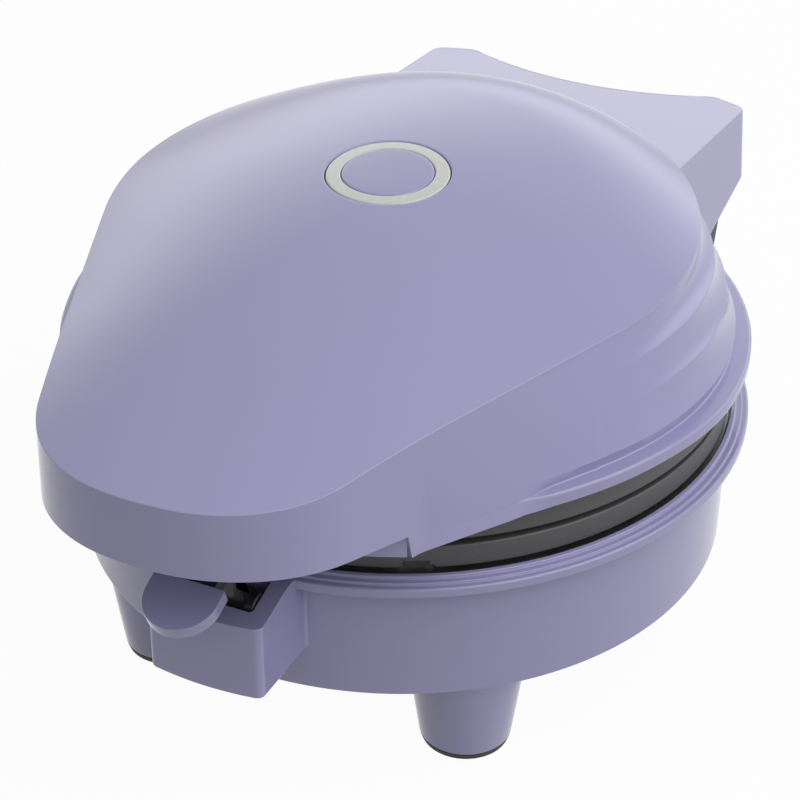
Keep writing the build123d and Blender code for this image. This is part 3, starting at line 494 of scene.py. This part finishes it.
def wing_outline(front_radius):
    """Plan of a rear wing, anticlockwise from its front right corner: side, tip, waist arc, the same
    mirrored, and an arc inside the round body."""
    sag = wing_tip[1] - wing_waist_y
    waist_radius = (wing_tip[0] ** 2 + sag**2) / (2 * sag)
    waist_x = np.linspace(wing_tip[0] - 2.5, 2.5 - wing_tip[0], 31)
    waist_y = wing_waist_y + waist_radius - np.sqrt(waist_radius**2 - waist_x**2)
    front = (wing_half, np.sqrt(front_radius**2 - wing_half**2))
    waist = np.column_stack([waist_x, waist_y])
    tips = [(wing_half, wing_corner_y), wing_tip, *waist, (-wing_tip[0], wing_tip[1]),
            (-wing_half, wing_corner_y)]
    plan = rounded([front, *tips, (-front[0], front[1])], [0, 3.5, 3.5] + [0] * 31 + [3.5, 3.5, 0], 10)
    bow = np.degrees(np.arccos(wing_half / front_radius))
    return np.vstack([plan, arc((0, 0), front_radius, 180 - bow, bow, 60)[1:-1]])


def wing_plan(front_radius, count, marks):
    """The wing's outline at even stations, and its normals, which are nought along the front arc."""
    plan = stations(wing_outline(front_radius), count, marks)
    normal = outward(plan)
    normal[np.hypot(*plan.T) < front_radius + 0.4] = 0
    return plan, normal


def wing_roof(y):
    """Height of the wing's roof, which falls a little to the rear."""
    return wing_roof_z + wing_roof_slope * (wing_corner_y - y)


def wing_flare(height):
    """How far the wing's drafted wall stands out at a height, as a column."""
    return np.clip((wing_roof_z - height) / wing_flare_height, 0, 1.2)[:, None]


def lid_wing_loops(count=420):
    """Loops of the wing's shell: sloping roof, top round, drafted wall and back inside to the roof."""
    marks = [(side * wing_half, np.sqrt(70.5**2 - wing_half**2)) for side in (-1, 1)]
    plan, normal = wing_plan(60.2, count, marks)
    roof = wing_roof(plan[:, 1])
    reach = np.hypot(*plan.T)
    slope = wing_foot_z - wing_foot_slope * (wing_corner_y - plan[:, 1])
    foot = np.select([reach < 62.5, reach < 66.5, reach < 70.5], [66, lip_bottom + 1.7, lip_bottom], slope)
    middle = np.array([0, 80.0])
    loops = []
    for share in (0.3, 0.6, 0.9, 0.99):
        shrunk = middle + share * (plan - wing_top_round * normal - middle)
        loops.append(raised(shrunk, wing_roof(shrunk[:, 1])))
    for inward, down in quarter(8):
        loops.append(raised(plan - wing_top_round * inward * normal, roof - wing_top_round * down))
    wall_top = loops[-1][:, 2]
    for share in (0.01, 0.1, 0.4, 0.7, 0.97):
        height = wall_top + share * (foot + wing_foot_round - wall_top)
        loops.append(raised(plan + wing_flare(height) * normal, height))
    for inward, down in reversed(quarter(4)):
        stand = wing_flare(foot) - wing_foot_round * inward
        loops.append(raised(plan + stand * normal, foot + wing_foot_round * down))
    loops.append(raised(plan + (wing_flare(foot) - wing_wall) * normal, foot))
    for share in (0.03, 0.5, 1):
        height = foot + share * (roof - wing_wall - foot)
        loops.append(raised(plan + (wing_flare(height) - wing_wall) * normal, height))
    inner = loops[-1][:, :2]
    for share in (0.97, 0.6, 0.3):
        shrunk = middle + share * (inner - middle)
        loops.append(raised(shrunk, wing_roof(shrunk[:, 1]) - wing_wall))
    return np.array(loops)


def slab(outline, low, high, edge, steps=4):
    """Loops of a plate with rounded edges: outline (n, 2) anticlockwise, from its high face to its low
    one, as (u, v, w) with w across the plate."""
    plan = np.asarray(outline)
    normal = outward(plan)
    loops = [raised(plan - (edge + 0.25) * normal, high)]
    loops += [raised(plan - edge * inward * normal, high - edge * down) for inward, down in quarter(steps)]
    loops.append(raised(plan, high - edge - 0.2))
    loops.append(raised(plan, low + edge + 0.2))
    loops += [raised(plan - edge * inward * normal, low + edge * down)
              for inward, down in reversed(quarter(steps))]
    loops.append(raised(plan - (edge + 0.25) * normal, low))
    return np.array(loops)


def upright(loops):
    """Turns a slab's (u, v, w) to (y, z, x), so that it stands across the grill."""
    return loops[:, :, [2, 0, 1]]


lug_width, lug_inner = 6.0, 24.0
lug_outline = np.vstack([arc((hinge_y, hinge_z), barrel_radius, 180, 360, 40), [(87.5, 76), (74.5, 76)]])
lugs = [skin(upright(slab(lug_outline, low, low + lug_width, 0.4)))
        for low in (lug_inner, -lug_inner - lug_width)]
piece("lid_wing", [skin(lid_wing_loops()), *lugs], lavender, "lid")


# Base tub: the lower half of the housing, moulded in the same lavender plastic. It is turned from one
# profile: flat bottom, nearly upright wall, overhanging rim flange, ridge, lip and hollow inside.
tub_bottom = 20.7
tub_corners = [(0, tub_bottom), (65.8, tub_bottom), (66.3, 46.3), (69.99, 46.3), (69.99, 48.4),
               (68.7, 48.4), (68.7, 48.9), (67.5, 48.9), (67.5, 49.5), (66.4, 49.5), (66.4, 47.8),
               (64.1, 47.8), (64.1, 23.1), (0, 23.1)]
tub_rounds = (0, 0.6, 0.3, 0.4, 0.5, 0.15, 0.2, 0.15, 0.25, 0.25, 0, 0.3, 1, 0)
tub_profile = rounded(tub_corners, tub_rounds, hold=0.05)[1:-1]
leg_x, leg_y = 33.5, 41.0
leg_foot_radius = 9.05
leg_foot_z = 1.5
leg_taper = 0.138
base_wing_top = 33.6
base_wing_edge = 0.9


def turned(profile, count=256, centre=(0, 0)):
    """Circles round a vertical axis, one for each point (radius, height) of a profile."""
    angle = np.linspace(0, 2 * np.pi, count, endpoint=False)
    circle = np.column_stack([np.cos(angle), np.sin(angle)])
    return np.array([raised(radius * circle + centre, height) for radius, height in profile])


def leg_loops(x, y):
    """One leg: a tapered round post with a rounded foot edge and a small flare where it joins the tub."""
    height = np.array([2.1, 5, 9, 13, 17, 19, 19.6, 20.1, 20.45, 20.7, 21.9])
    flare = np.array([0, 0, 0, 0, 0, 0.02, 0.08, 0.2, 0.38, 0.55, 0.55])
    radius = leg_foot_radius + leg_taper * (height - leg_foot_z) + flare
    foot = [(8.7, leg_foot_z), (8.9, 1.54), (9.04, 1.66), (9.1, 1.85)]
    return turned([*foot, *zip(radius, height)], 96, (x, y))


def base_wing_loops(count=320):
    """The lower wing as a rounded slab, 1 mm larger than the lid's wing."""
    plan, normal = wing_plan(64.6, count, [])
    plan = plan + normal
    inner = plan - (base_wing_edge + 0.3) * normal
    upper, lower = [], []
    for inward, down in quarter(5):
        edge = plan - base_wing_edge * inward * normal
        upper.append(raised(edge, base_wing_top - base_wing_edge * down))
        lower.append(raised(edge, tub_bottom + base_wing_edge * down))
    walls = [raised(plan, base_wing_top - 1.2), raised(plan, tub_bottom + 1.5)]
    return np.array([raised(inner, base_wing_top), *upper, *walls, *lower[::-1], raised(inner, tub_bottom)])


legs = [skin(leg_loops(x, y)) for x in (-leg_x, leg_x) for y in (-leg_y, leg_y)]
piece("base_tub", [skin(turned(tub_profile, 320)), *legs, skin(base_wing_loops())],
      lavender, "base", ["base_shell"])


# Latch trough: the open box on the front of the tub that carries the latch, moulded with the tub. Its
# side walls rise to the rim and meet the tub's round wall in a small fillet.
trough_middle = np.array([0, -75.1])
trough_half = 11.7
trough_front = -83.4
trough_bow = 1.1
trough_corner = 1.6
trough_bottom = 30.6
trough_edge = 0.2
pocket_half = 7.9
pocket_front, pocket_back = -78.3, -70.3
pocket_floor = 33.0
edge_low, edge_rise = 46.2, 2.3
rise_start, rise_end = -79.9, -71.5


def polar(outline, centre, angles):
    """Points where rays from centre at these angles cross an outline that is star shaped about it."""
    step = stations(outline, 3000) - centre
    bearing = np.unwrap(np.arctan2(step[:, 1], step[:, 0]))
    order = np.argsort(bearing)
    radius = np.interp(angles, bearing[order], np.hypot(*step.T)[order], period=2 * np.pi)
    return centre + radius[:, None] * np.column_stack([np.cos(angles), np.sin(angles)])


def trough_loops(count=480):
    """Loops of the trough: bottom, outer wall, broad top edge that rises towards the rim, pocket wall
    and floor."""
    angles = np.linspace(-np.pi, np.pi, count, endpoint=False)
    bow_x = np.linspace(-10, 10, 21)
    bow = np.column_stack([bow_x, trough_front + trough_bow * (bow_x / trough_half) ** 2])
    side = [(trough_half, trough_front + trough_bow), (trough_half, -65.9), (12.2, -64.6), (11.0, -62.5)]
    other_side = np.array(side[::-1]) * (-1, 1)
    radii = [trough_corner] + [0] * 21 + [trough_corner] + [0] * 6
    outer_plan = rounded([other_side[-1], *bow, *side, *other_side[:-1]], radii, 10)
    inner_plan = rounded([(-pocket_half, pocket_front), (pocket_half, pocket_front),
                          (pocket_half, pocket_back), (-pocket_half, pocket_back)], 0.8, 8)
    outer, inner = (polar(plan, trough_middle, angles) for plan in (outer_plan, inner_plan))
    normal, inner_normal = outward(outer), outward(inner)

    def edge_height(y):
        """Height of the top edge: low on the front wall, and rising along the sides to the rim."""
        straight = np.clip((y - rise_start) / (rise_end - rise_start), 0, 1)
        return edge_low + edge_rise * (0.7 * straight + 0.3 * smooth(y, rise_start, rise_end))

    top = np.where(np.hypot(*outer.T) < 70.02, 48.3, edge_height(outer[:, 1]))
    inner_top = edge_height(inner[:, 1] - 1.0)
    bottom_edge, top_edge, pocket_rim = [], [], []
    for inward, down in quarter(4):
        shrunk = outer - trough_edge * inward * normal
        bottom_edge.append(raised(shrunk, trough_bottom + trough_edge * down))
        top_edge.append(raised(shrunk, top - trough_edge * down))
        widened = inner + trough_edge * inward * inner_normal
        pocket_rim.append(raised(widened, inner_top - trough_edge * down))
    wall = [raised(outer, 31), raised(outer, 38), raised(outer, top - 0.4)]
    flat = [raised(outer - 0.3 * normal, top), raised(inner + 0.3 * inner_normal, inner_top)]
    pocket = [raised(inner, height) for height in (inner_top - 0.4, pocket_floor + 1, pocket_floor)]
    floor_middle = trough_middle + 0.9 * (inner - trough_middle)
    return np.array([raised(outer - 0.5 * normal, trough_bottom), *bottom_edge, *wall, *top_edge[::-1],
                     *flat, *pocket_rim, *pocket, raised(floor_middle, pocket_floor)])


piece("latch_trough", [skin(trough_loops())], lavender, "base")


# Light ring and badge: a frosted acrylic ring that glows when the grill is hot, round a lavender disc.
# Both sit in the crown's pocket with their tops in line with the dome and a hair gap round each.
ring_inner = 9.05
badge_radius = 1000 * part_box("ring_badge")[1][0]


def frosted_acrylic(name, colour):
    """Cast acrylic, polished: milky white, lit a little from inside by scattering, with a wet gloss."""
    material, tree, place = new_material(name)
    cloud = add(tree, "ShaderNodeTexNoise", {"Vector": place, "Scale": 900, "Detail": 2})
    base = add(tree, "ShaderNodeMix", {"Factor": cloud.outputs["Fac"], "A": hex_colour(colour),
                                       "B": hex_colour("#ced1ce")}, data_type="RGBA")
    shader = add(tree, "ShaderNodeBsdfPrincipled", {
        "Base Color": base.outputs["Result"], "Roughness": 0.16, "IOR": 1.49,
        "Subsurface Weight": 0.25, "Subsurface Scale": 0.001})
    add(tree, "ShaderNodeOutputMaterial", {"Surface": shader.outputs[0]})
    return material


def inlay_loops(profile, count=160):
    """Circles round the ring's centre whose heights are set down from the dome: profile holds pairs of
    radius and depth, and a depth of 9 or more means the pocket's floor."""
    loops = turned(profile, count, (0, ring_y))
    for loop, (_, depth) in zip(loops, profile):
        loop[:, 2] = pocket_z if depth > 8 else crown_height(*loop[:, :2].T) - depth
    return loops


ring_profile = rounded([(ring_outer, 9), (ring_outer, 0.02), (ring_inner, 0.02), (ring_inner, 9)],
                       (0, 0.35, 0.35, 0), 5, 0.1)
badge_profile = [(badge_radius, 9), (badge_radius, 0.3), (badge_radius - 0.06, 0.14),
                 (badge_radius - 0.2, 0.04), (badge_radius - 0.4, 0.02), (badge_radius - 0.8, 0.02),
                 (6, 0.02), (3, 0.02)]
piece("light_ring_cover", [skin(inlay_loops(ring_profile), ring=True)],
      frosted_acrylic("frosted_acrylic", "#c2c5c2"), "lid", ["light_ring"])
piece("ring_badge_disc", [skin(inlay_loops(badge_profile))], lavender, "lid",
      ["ring_badge"])


# Cooking plates: two equal die-cast aluminium plates with a dark non-stick coat. Each has a rim, a
# shallow recess with rounded grill ribs, a skirt and three lugs that hold it in the clips.
plate_radius = 1000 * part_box("lower_plate")[1][0]
plate_depth = 6.9
plate_back = 9.4
plate_skirt = 1.3
recess_radius = 54.5
rim_inner = 58.0
rib_pitch, rib_width, rib_height = 9.0, 2.6, 2.2
notch_angle = -62.0
notch_half, notch_depth = 3.1, 1.4
lug_angles = (-62.0, 58.0, 178.0)


def ceramic_coat(name, colour, fleck):
    """Sprayed non-stick coat on cast aluminium: dark grey, satin, with fine pale flecks and a pebble."""
    material, tree, place = new_material(name)
    grain = add(tree, "ShaderNodeTexNoise", {"Vector": place, "Scale": 2400, "Detail": 3})
    flecks = add(tree, "ShaderNodeTexVoronoi", {"Vector": place, "Scale": 1400})
    share = add(tree, "ShaderNodeMapRange", {"Value": flecks.outputs["Distance"], "From Min": 0.06,
                                             "From Max": 0.16, "To Min": 0.45, "To Max": 0})
    base = add(tree, "ShaderNodeMix", {"Factor": share.outputs["Result"], "A": hex_colour(colour),
                                       "B": hex_colour(fleck)}, data_type="RGBA")
    rough = add(tree, "ShaderNodeMapRange", {"Value": grain.outputs["Fac"], "To Min": 0.36, "To Max": 0.5})
    relief = add(tree, "ShaderNodeBump", {"Height": grain.outputs["Fac"], "Strength": 0.3,
                                          "Distance": 0.00004})
    shader = add(tree, "ShaderNodeBsdfPrincipled", {
        "Base Color": base.outputs["Result"], "Roughness": rough.outputs["Result"],
        "Normal": relief.outputs["Normal"], "IOR": 1.5})
    add(tree, "ShaderNodeOutputMaterial", {"Surface": shader.outputs[0]})
    return material


coated = ceramic_coat("nonstick_coat", "#49494a", "#7c7c7e")


def plate_loops(face, side, up, count=360):
    """A plate turned from its profile, from the middle of the recess over the rim, down the skirt and
    back inside. The skirt's edge is raised along a pry notch."""
    inside = plate_radius - plate_skirt
    corners = [(0, plate_depth), (recess_radius, plate_depth), (rim_inner, 0), (plate_radius, 0),
               (plate_radius, side), (inside, side), (inside, 2.5), (60.3, 2.5), (56.2, plate_back),
               (0, plate_back)]
    rounds = (0, 1.6, 1.2, 0.5, 0.3, 0.3, 0.4, 0.8, 0.8, 0)
    profile = rounded(corners, rounds, 5, 0.1)[1:-1]
    loops = turned([(radius, face + up * depth) for radius, depth in profile], count)
    bearing = np.degrees(np.arctan2(loops[:, :, 1], loops[:, :, 0]))
    off = np.abs(bearing - notch_angle) * np.radians(1) * plate_radius
    share = np.clip((notch_half - off) / 0.6, 0, 1)
    depth = (loops[:, :, 2] - face) * up
    low_edge = (depth > side - 1.2) & (np.hypot(loops[:, :, 0], loops[:, :, 1]) > plate_radius - 1.5)
    loops[:, :, 2] -= np.where(low_edge, up * share * notch_depth, 0)
    return loops


def rib_loops(x, face, up):
    """One grill rib along Y: a bar with a round top whose ends run out at the edge of the recess."""
    half = np.sqrt((recess_radius - 0.6) ** 2 - x * x)
    floor = face + up * (plate_depth + 0.3)
    root, top, height = rib_width / 2 + 0.3, rib_width / 2 - 0.1, rib_height + 0.3
    section = rounded([(-root, 0), (root, 0), (top, height), (-top, height)], (0, 0, 0.9, 0.9), 5, 0.05)
    loops = []
    front_end = [(-1, 0.05), (-0.995, 0.4), (-0.985, 0.75), (-0.965, 0.97), (-0.94, 1)]
    rear_end = [(-along, share) for along, share in reversed(front_end)]
    for along, share in front_end + rear_end:
        y = np.full(len(section), along * half)
        loops.append(np.column_stack([x + section[:, 0], y, floor - up * share * section[:, 1]]))
    return np.array(loops)


def lug_skins(face, up):
    """Three short lugs inside the skirt, which spring behind the clips."""
    out = []
    for angle in np.radians(lug_angles):
        plan = rounded([(62.8, -2.5), (64.6, -2.5), (64.6, 2.5), (62.8, 2.5)], 0.25, 3, 0.05)
        turn = np.array([[np.cos(angle), np.sin(angle)], [-np.sin(angle), np.cos(angle)]])
        low, high = sorted((face + up * 2.3, face + up * 5.1))
        out.append(skin(slab(plan @ turn, low, high, 0.2, 3)))
    return out


plates = {"lower": (1000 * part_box("lower_plate")[1][2], 4.7, -1, "base"),
          "upper": (1000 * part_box("upper_plate")[0][2], 6.8, 1, "lid")}
for name, (face, side, up, body) in plates.items():
    ribs = [skin(rib_loops(rib_pitch * i, face, up)) for i in range(-5, 6)]
    piece(f"{name}_grill_plate", [skin(plate_loops(face, side, up)), *ribs, *lug_skins(face, up)],
          coated, body, [f"{name}_plate"])


# Foot pads: four moulded rubber pads pressed into the legs, matt dark grey with a bloom of dust in the
# texture, and with a soft edge.
def grained(name, colour, second, scale=1800, detail=4, roughness=(0.75, 0.75), relief=(0.4, 0.00008),
            ior=1.5):
    """A moulded skin with no polish: two close colours, a roughness and a relief (strength, metres) that
    all follow one fine grain."""
    material, tree, place = new_material(name)
    noise = add(tree, "ShaderNodeTexNoise", {"Vector": place, "Scale": scale, "Detail": detail})
    grain = noise.outputs["Fac"]
    base = add(tree, "ShaderNodeMix", {"Factor": grain, "A": hex_colour(colour), "B": hex_colour(second)},
               data_type="RGBA")
    rough = add(tree, "ShaderNodeMapRange", {"Value": grain, "To Min": roughness[0], "To Max": roughness[1]})
    bumps = add(tree, "ShaderNodeBump", {"Height": grain, "Strength": relief[0], "Distance": relief[1]})
    shader = add(tree, "ShaderNodeBsdfPrincipled", {
        "Base Color": base.outputs["Result"], "Roughness": rough.outputs["Result"],
        "Normal": bumps.outputs["Normal"], "IOR": ior})
    add(tree, "ShaderNodeOutputMaterial", {"Surface": shader.outputs[0]})
    return material


rubber = grained("moulded_rubber", "#2f2f30", "#3c3c3d")
pad_radius = 8.5
peg_radius, peg_top = 4.0, 3.9
pad_corners = [(0, 0), (pad_radius, 0), (leg_foot_radius, leg_foot_z), (peg_radius, leg_foot_z),
               (peg_radius, peg_top), (0, peg_top)]
pad_profile = rounded(pad_corners, (0, 0.4, 0.2, 0.1, 0.3, 0), 4, 0.05)[1:-1]
for side, x in (("left", -leg_x), ("right", leg_x)):
    for end, y in (("front", -leg_y), ("rear", leg_y)):
        piece(f"rubber_pad_{end}_{side}", [skin(turned(pad_profile, 96, (x, y)))], rubber, "base",
              [f"foot_pad_{end}_{side}"])


# Hinge bracket: black glass-filled nylon, near black with a satin spark-eroded texture. Two ears lean
# forward from a cross plate to the barrels round the hinge rod. Two screws hold it on the lower wing.
nylon = grained("glass_filled_nylon", "#121213", "#1c1c1e", 3000, 3, (0.38, 0.56), (0.3, 0.00003), 1.52)
ear_width, ear_inner = 6.2, 30.5
stem_front, stem_rear = 68.5, 80.5
cross_half, cross_front, cross_rear = 36.6, 68.6, 80.4
cross_top = 36.0


def ear_outline():
    """Side view of an ear, anticlockwise in (y, z): stem foot, and the barrel between its tangents."""
    centre = np.array([hinge_y, hinge_z])
    rear_foot, front_foot = (np.array([y, base_wing_top + 0.1]) for y in (stem_rear, stem_front))

    def tangent(foot, side):
        """Bearing in degrees, from the barrel's centre, of the tangent from a foot point."""
        away = foot - centre
        spread = np.degrees(np.arccos(barrel_radius / np.hypot(*away)))
        return np.degrees(np.arctan2(away[1], away[0])) + side * spread

    barrel = arc(centre, barrel_radius, tangent(rear_foot, 1), tangent(front_foot, -1) + 360, 60)
    return np.vstack([front_foot, rear_foot, barrel])


ears = [skin(upright(slab(ear_outline(), low, low + ear_width, 0.5)))
        for low in (ear_inner, -ear_inner - ear_width)]
cross_plan = rounded([(-cross_half, cross_front), (cross_half, cross_front), (cross_half, cross_rear),
                      (-cross_half, cross_rear)], 1.0, 4)
cross_plate = slab(cross_plan, base_wing_top + 0.02, cross_top, 0.4)
piece("hinge_bracket_ears", [*ears, skin(cross_plate)], nylon, "base", ["hinge_bracket"])


# Latch: a black nylon lever with a hook, which turns on a pin in the trough, a lavender thumb tab on
# its neck and a steel coil spring under its foot.
pivot_y, pivot_z = -74.5, 44.8
lever_corners = [(-74.5, 48.0), (-79.4, 52.5), (-79.4, 64.3), (-78.85, 64.3), (-78.85, 65.3),
                 (-79.4, 66.3), (-81.4, 66.3), (-81.4, 51.0), (-77.5, 47.1), (-77.5, 44.0), (-74.5, 43.0)]
lever_rounds = (1.0, 1.2, 0.1, 0.1, 0.3, 0.3, 0.8, 2.0, 0.6, 0.8, 1.0)
lever_outline = rounded(lever_corners, lever_rounds, 5, 0.02)
lever_half = 6.0
hub_half, hub_radius = 7.7, 3.2
neck_half, neck_low, neck_high = 5.0, -3.2, -0.2
coil_radius, wire_radius, coil_turns = 1.45, 0.32, 6
tab_slope = np.radians(21.4)
tab_centre = np.array([0, -88.7, 54.6])
tab_radius, tab_thickness = 7.2, 2.6
tab_back = 3.2 / np.cos(tab_slope)


def on_tab(loops):
    """Lays a slab's (across, along, up) on the slanting tab, whose top passes through tab_centre."""
    along = np.array([0, np.cos(tab_slope), np.sin(tab_slope)])
    up = np.array([0, -np.sin(tab_slope), np.cos(tab_slope)])
    return tab_centre + loops[:, :, :1] * (1, 0, 0) + loops[:, :, 1:2] * along + loops[:, :, 2:] * up


def bar_loops(half, y, z, radius, edge=0.4):
    """A round bar along X with rounded ends."""
    circle = arc((y, z), radius, 0, 360, 49)[:-1]
    return upright(slab(circle, -half, half, edge))


def coil_loops(y, low, high, radius, wire, turns, count=12):
    """A coil spring: circles of wire along a helix whose end turns lie nearly flat."""
    share = np.linspace(0, 1, 24 * turns + 1)
    angle = 2 * np.pi * turns * share
    rise = np.clip((share - 0.12) / 0.76, 0, 1)
    height = low + wire + (high - low - 2 * wire) * (0.06 * share + 0.94 * rise)
    centre = np.column_stack([radius * np.cos(angle), y + radius * np.sin(angle), height])
    run = np.gradient(centre, axis=0)
    run /= np.linalg.norm(run, axis=1)[:, None]
    out = np.column_stack([np.cos(angle), np.sin(angle), 0 * angle])
    side = np.cross(run, out)
    turn = np.linspace(0, 2 * np.pi, count, endpoint=False)[None, :, None]
    return centre[:, None] + wire * (np.cos(turn) * out[:, None] + np.sin(turn) * side[:, None])


neck_plan = rounded([(-neck_half, -1), (neck_half, -1), (neck_half, 9.5), (-neck_half, 9.5)], 0.6, 3, 0.05)
neck = on_tab(slab(neck_plan, neck_low, neck_high, 0.3, 3))
arm = upright(slab(lever_outline, -lever_half, lever_half, 0.4))
hub = bar_loops(hub_half, pivot_y, pivot_z, hub_radius)
piece("latch_hook_lever", [skin(arm), skin(hub), skin(neck)], nylon, "latch",
      ["latch_lever"])

tab_rear = rounded([(tab_radius, 1), (tab_radius, tab_back), (-tab_radius, tab_back), (-tab_radius, 1)],
                   (0, 0.6, 0.6, 0), 4, 0.05)
tab_plan = np.vstack([arc((0, 0), tab_radius, 180, 360, 90), tab_rear])
piece("latch_thumb_tab", [skin(on_tab(slab(tab_plan, -tab_thickness, 0, 0.2, 4)))], lavender, "latch",
      ["latch_tab"])


def drawn_steel(name, colour, roughness):
    """Drawn and plated steel: bright grey with fine lines along Z and faint cloudy tarnish."""
    material, tree, place = new_material(name)
    lines = add(tree, "ShaderNodeMapping", {"Vector": place, "Scale": (1, 1, 0.05)})
    drawn = add(tree, "ShaderNodeTexNoise", {"Vector": lines.outputs[0], "Scale": 6000, "Detail": 2})
    cloud = add(tree, "ShaderNodeTexNoise", {"Vector": place, "Scale": 120, "Detail": 4})
    base = add(tree, "ShaderNodeMix", {"Factor": cloud.outputs["Fac"], "A": hex_colour(colour),
                                       "B": hex_colour("#8f8f8d")}, data_type="RGBA")
    rough = add(tree, "ShaderNodeMapRange", {"Value": drawn.outputs["Fac"], "To Min": roughness - 0.08,
                                             "To Max": roughness + 0.08})
    shader = add(tree, "ShaderNodeBsdfPrincipled", {
        "Base Color": base.outputs["Result"], "Roughness": rough.outputs["Result"], "Metallic": 1.0})
    add(tree, "ShaderNodeOutputMaterial", {"Surface": shader.outputs[0]})
    return material


steel = drawn_steel("drawn_steel", "#b9b9b6", 0.28)
spring_low, spring_high = (1000 * np.array(corner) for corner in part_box("latch_spring"))
spring_y = (spring_low[1] + spring_high[1]) / 2
coil = coil_loops(spring_y, spring_low[2], spring_high[2], coil_radius, wire_radius, coil_turns)
spring = piece("latch_coil_spring", [skin(coil)], steel, "base", ["latch_spring"])
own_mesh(spring)


# Carried-over solids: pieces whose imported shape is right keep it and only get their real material.
def painted(names, material):
    """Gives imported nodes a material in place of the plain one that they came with."""
    for name in names:
        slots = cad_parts[name].data.materials
        slots.clear()
        slots.append(material)


painted(["hinge_rod", "latch_pin", "bracket_screws", "reflector_screws", "lid_screws"], steel)
painted(["lower_reflector", "upper_reflector", "lower_clips", "upper_clips", "lower_saddles",
         "upper_saddles"], drawn_steel("pressed_aluminised_steel", "#c4c4c0", 0.38))
painted(["lower_element", "upper_element"], drawn_steel("element_sheath_steel", "#6a655f", 0.45))
painted(["cord_gland", "thermostat", "terminal_block", "thermal_fuse"], nylon)
painted(["lamp_board"], grained("board_laminate", "#2c5a3c", "#3c3c3d"))
painted(["ring_lamps"], frosted_acrylic("lamp_epoxy", "#e9efe9"))
painted(["base_leads", "lid_leads"], grained("silicone_sleeve", "#b9b4aa", "#3c3c3d"))


# Floor and light: a plain white sweep that the camera sees as white with only the grill's shadow on it,
# a big soft light above and to the right of the camera, and a white surround, brighter low at the rear.
floor_size = 3.0
white = (1, 1, 1, 1)
floor_share = 0.96
band_top, band_rise, band_rear = (0.65, 0.3), (0.0, 0.3), (0.2, 0.7)
light_range, mirror_range = (0.45, 0.9), (1.0, 2.3)
key_place = Vector((1.33, -0.15, 1.25))
key_aim = Vector((0, 0, 0.05))
key_size, key_power = 2.0, 25
corners = floor_size * np.array([(-1, -1, 0), (1, -1, 0), (1, 1, 0), (-1, 1, 0)])
mesh = bpy.data.meshes.new("floor")
mesh.from_pydata(corners.tolist(), [], [(0, 1, 2, 3)])
floor = bpy.data.objects.new("floor", mesh)
bpy.context.collection.objects.link(floor)


def combined(tree, first, second, operation="MULTIPLY"):
    """The product of two values, or by MAXIMUM whether either of two ray tests holds."""
    return add(tree, "ShaderNodeMath", {0: first, 1: second}, operation=operation).outputs[0]


def fade(tree, value, start, end):
    """A smooth step of a value from 0 at start to 1 at end."""
    step = add(tree, "ShaderNodeMapRange", {"Value": value, "From Min": start, "From Max": end},
               interpolation_type="SMOOTHSTEP")
    return step.outputs[0]


floor_material = bpy.data.materials.new("white_sweep_paper")
floor_material.use_nodes = True
tree = floor_material.node_tree
tree.nodes.clear()
path = add(tree, "ShaderNodeLightPath", {}).outputs
seen = combined(tree, path["Is Camera Ray"], path["Is Glossy Ray"], "MAXIMUM")
seen = combined(tree, seen, path["Is Transmission Ray"], "MAXIMUM")
tone = add(tree, "ShaderNodeMix", {"Factor": seen, "A": (0.3, 0.3, 0.3, 1), "B": (0.8, 0.8, 0.8, 1)},
           data_type="RGBA")
paper = add(tree, "ShaderNodeBsdfDiffuse", {"Color": tone.outputs["Result"]})
glow = add(tree, "ShaderNodeEmission", {"Color": white, "Strength": 1.0})
share = combined(tree, seen, floor_share)
mixed = add(tree, "ShaderNodeMixShader", {0: share, 1: paper.outputs[0], 2: glow.outputs[0]})
add(tree, "ShaderNodeOutputMaterial", {"Surface": mixed.outputs[0]})
mesh.materials.append(floor_material)

world = bpy.data.worlds.new("white_surround")
world.use_nodes = True
bpy.context.scene.world = world
tree = world.node_tree
tree.nodes.clear()
direction = add(tree, "ShaderNodeTexCoord", {}).outputs["Generated"]
parts = add(tree, "ShaderNodeSeparateXYZ", {0: direction}).outputs
low_band = combined(tree, fade(tree, parts["Z"], *band_top), fade(tree, parts["Z"], *band_rise))
rear_glow = combined(tree, low_band, fade(tree, parts["Y"], *band_rear))
path = add(tree, "ShaderNodeLightPath", {}).outputs
direct = combined(tree, path["Is Camera Ray"], path["Is Transmission Ray"], "MAXIMUM")
shades = []
for low, high in (light_range, mirror_range):
    strength = add(tree, "ShaderNodeMapRange", {"Value": rear_glow, "To Min": low, "To Max": high})
    shades.append(add(tree, "ShaderNodeBackground", {"Color": white, "Strength": strength.outputs[0]}))
behind = add(tree, "ShaderNodeBackground", {"Color": white, "Strength": 1.0})
mixed = add(tree, "ShaderNodeMixShader",
            {0: path["Is Glossy Ray"], 1: shades[0].outputs[0], 2: shades[1].outputs[0]})
mixed = add(tree, "ShaderNodeMixShader", {0: direct, 1: mixed.outputs[0], 2: behind.outputs[0]})
add(tree, "ShaderNodeOutputWorld", {"Surface": mixed.outputs[0]})

key_light = bpy.data.lights.new("key", "AREA")
key_light.size = key_size
key_light.energy = key_power
key = bpy.data.objects.new("key", key_light)
key.location = key_place
key.rotation_euler = (key_aim - key_place).to_track_quat("-Z", "Y").to_euler()
bpy.context.collection.objects.link(key)
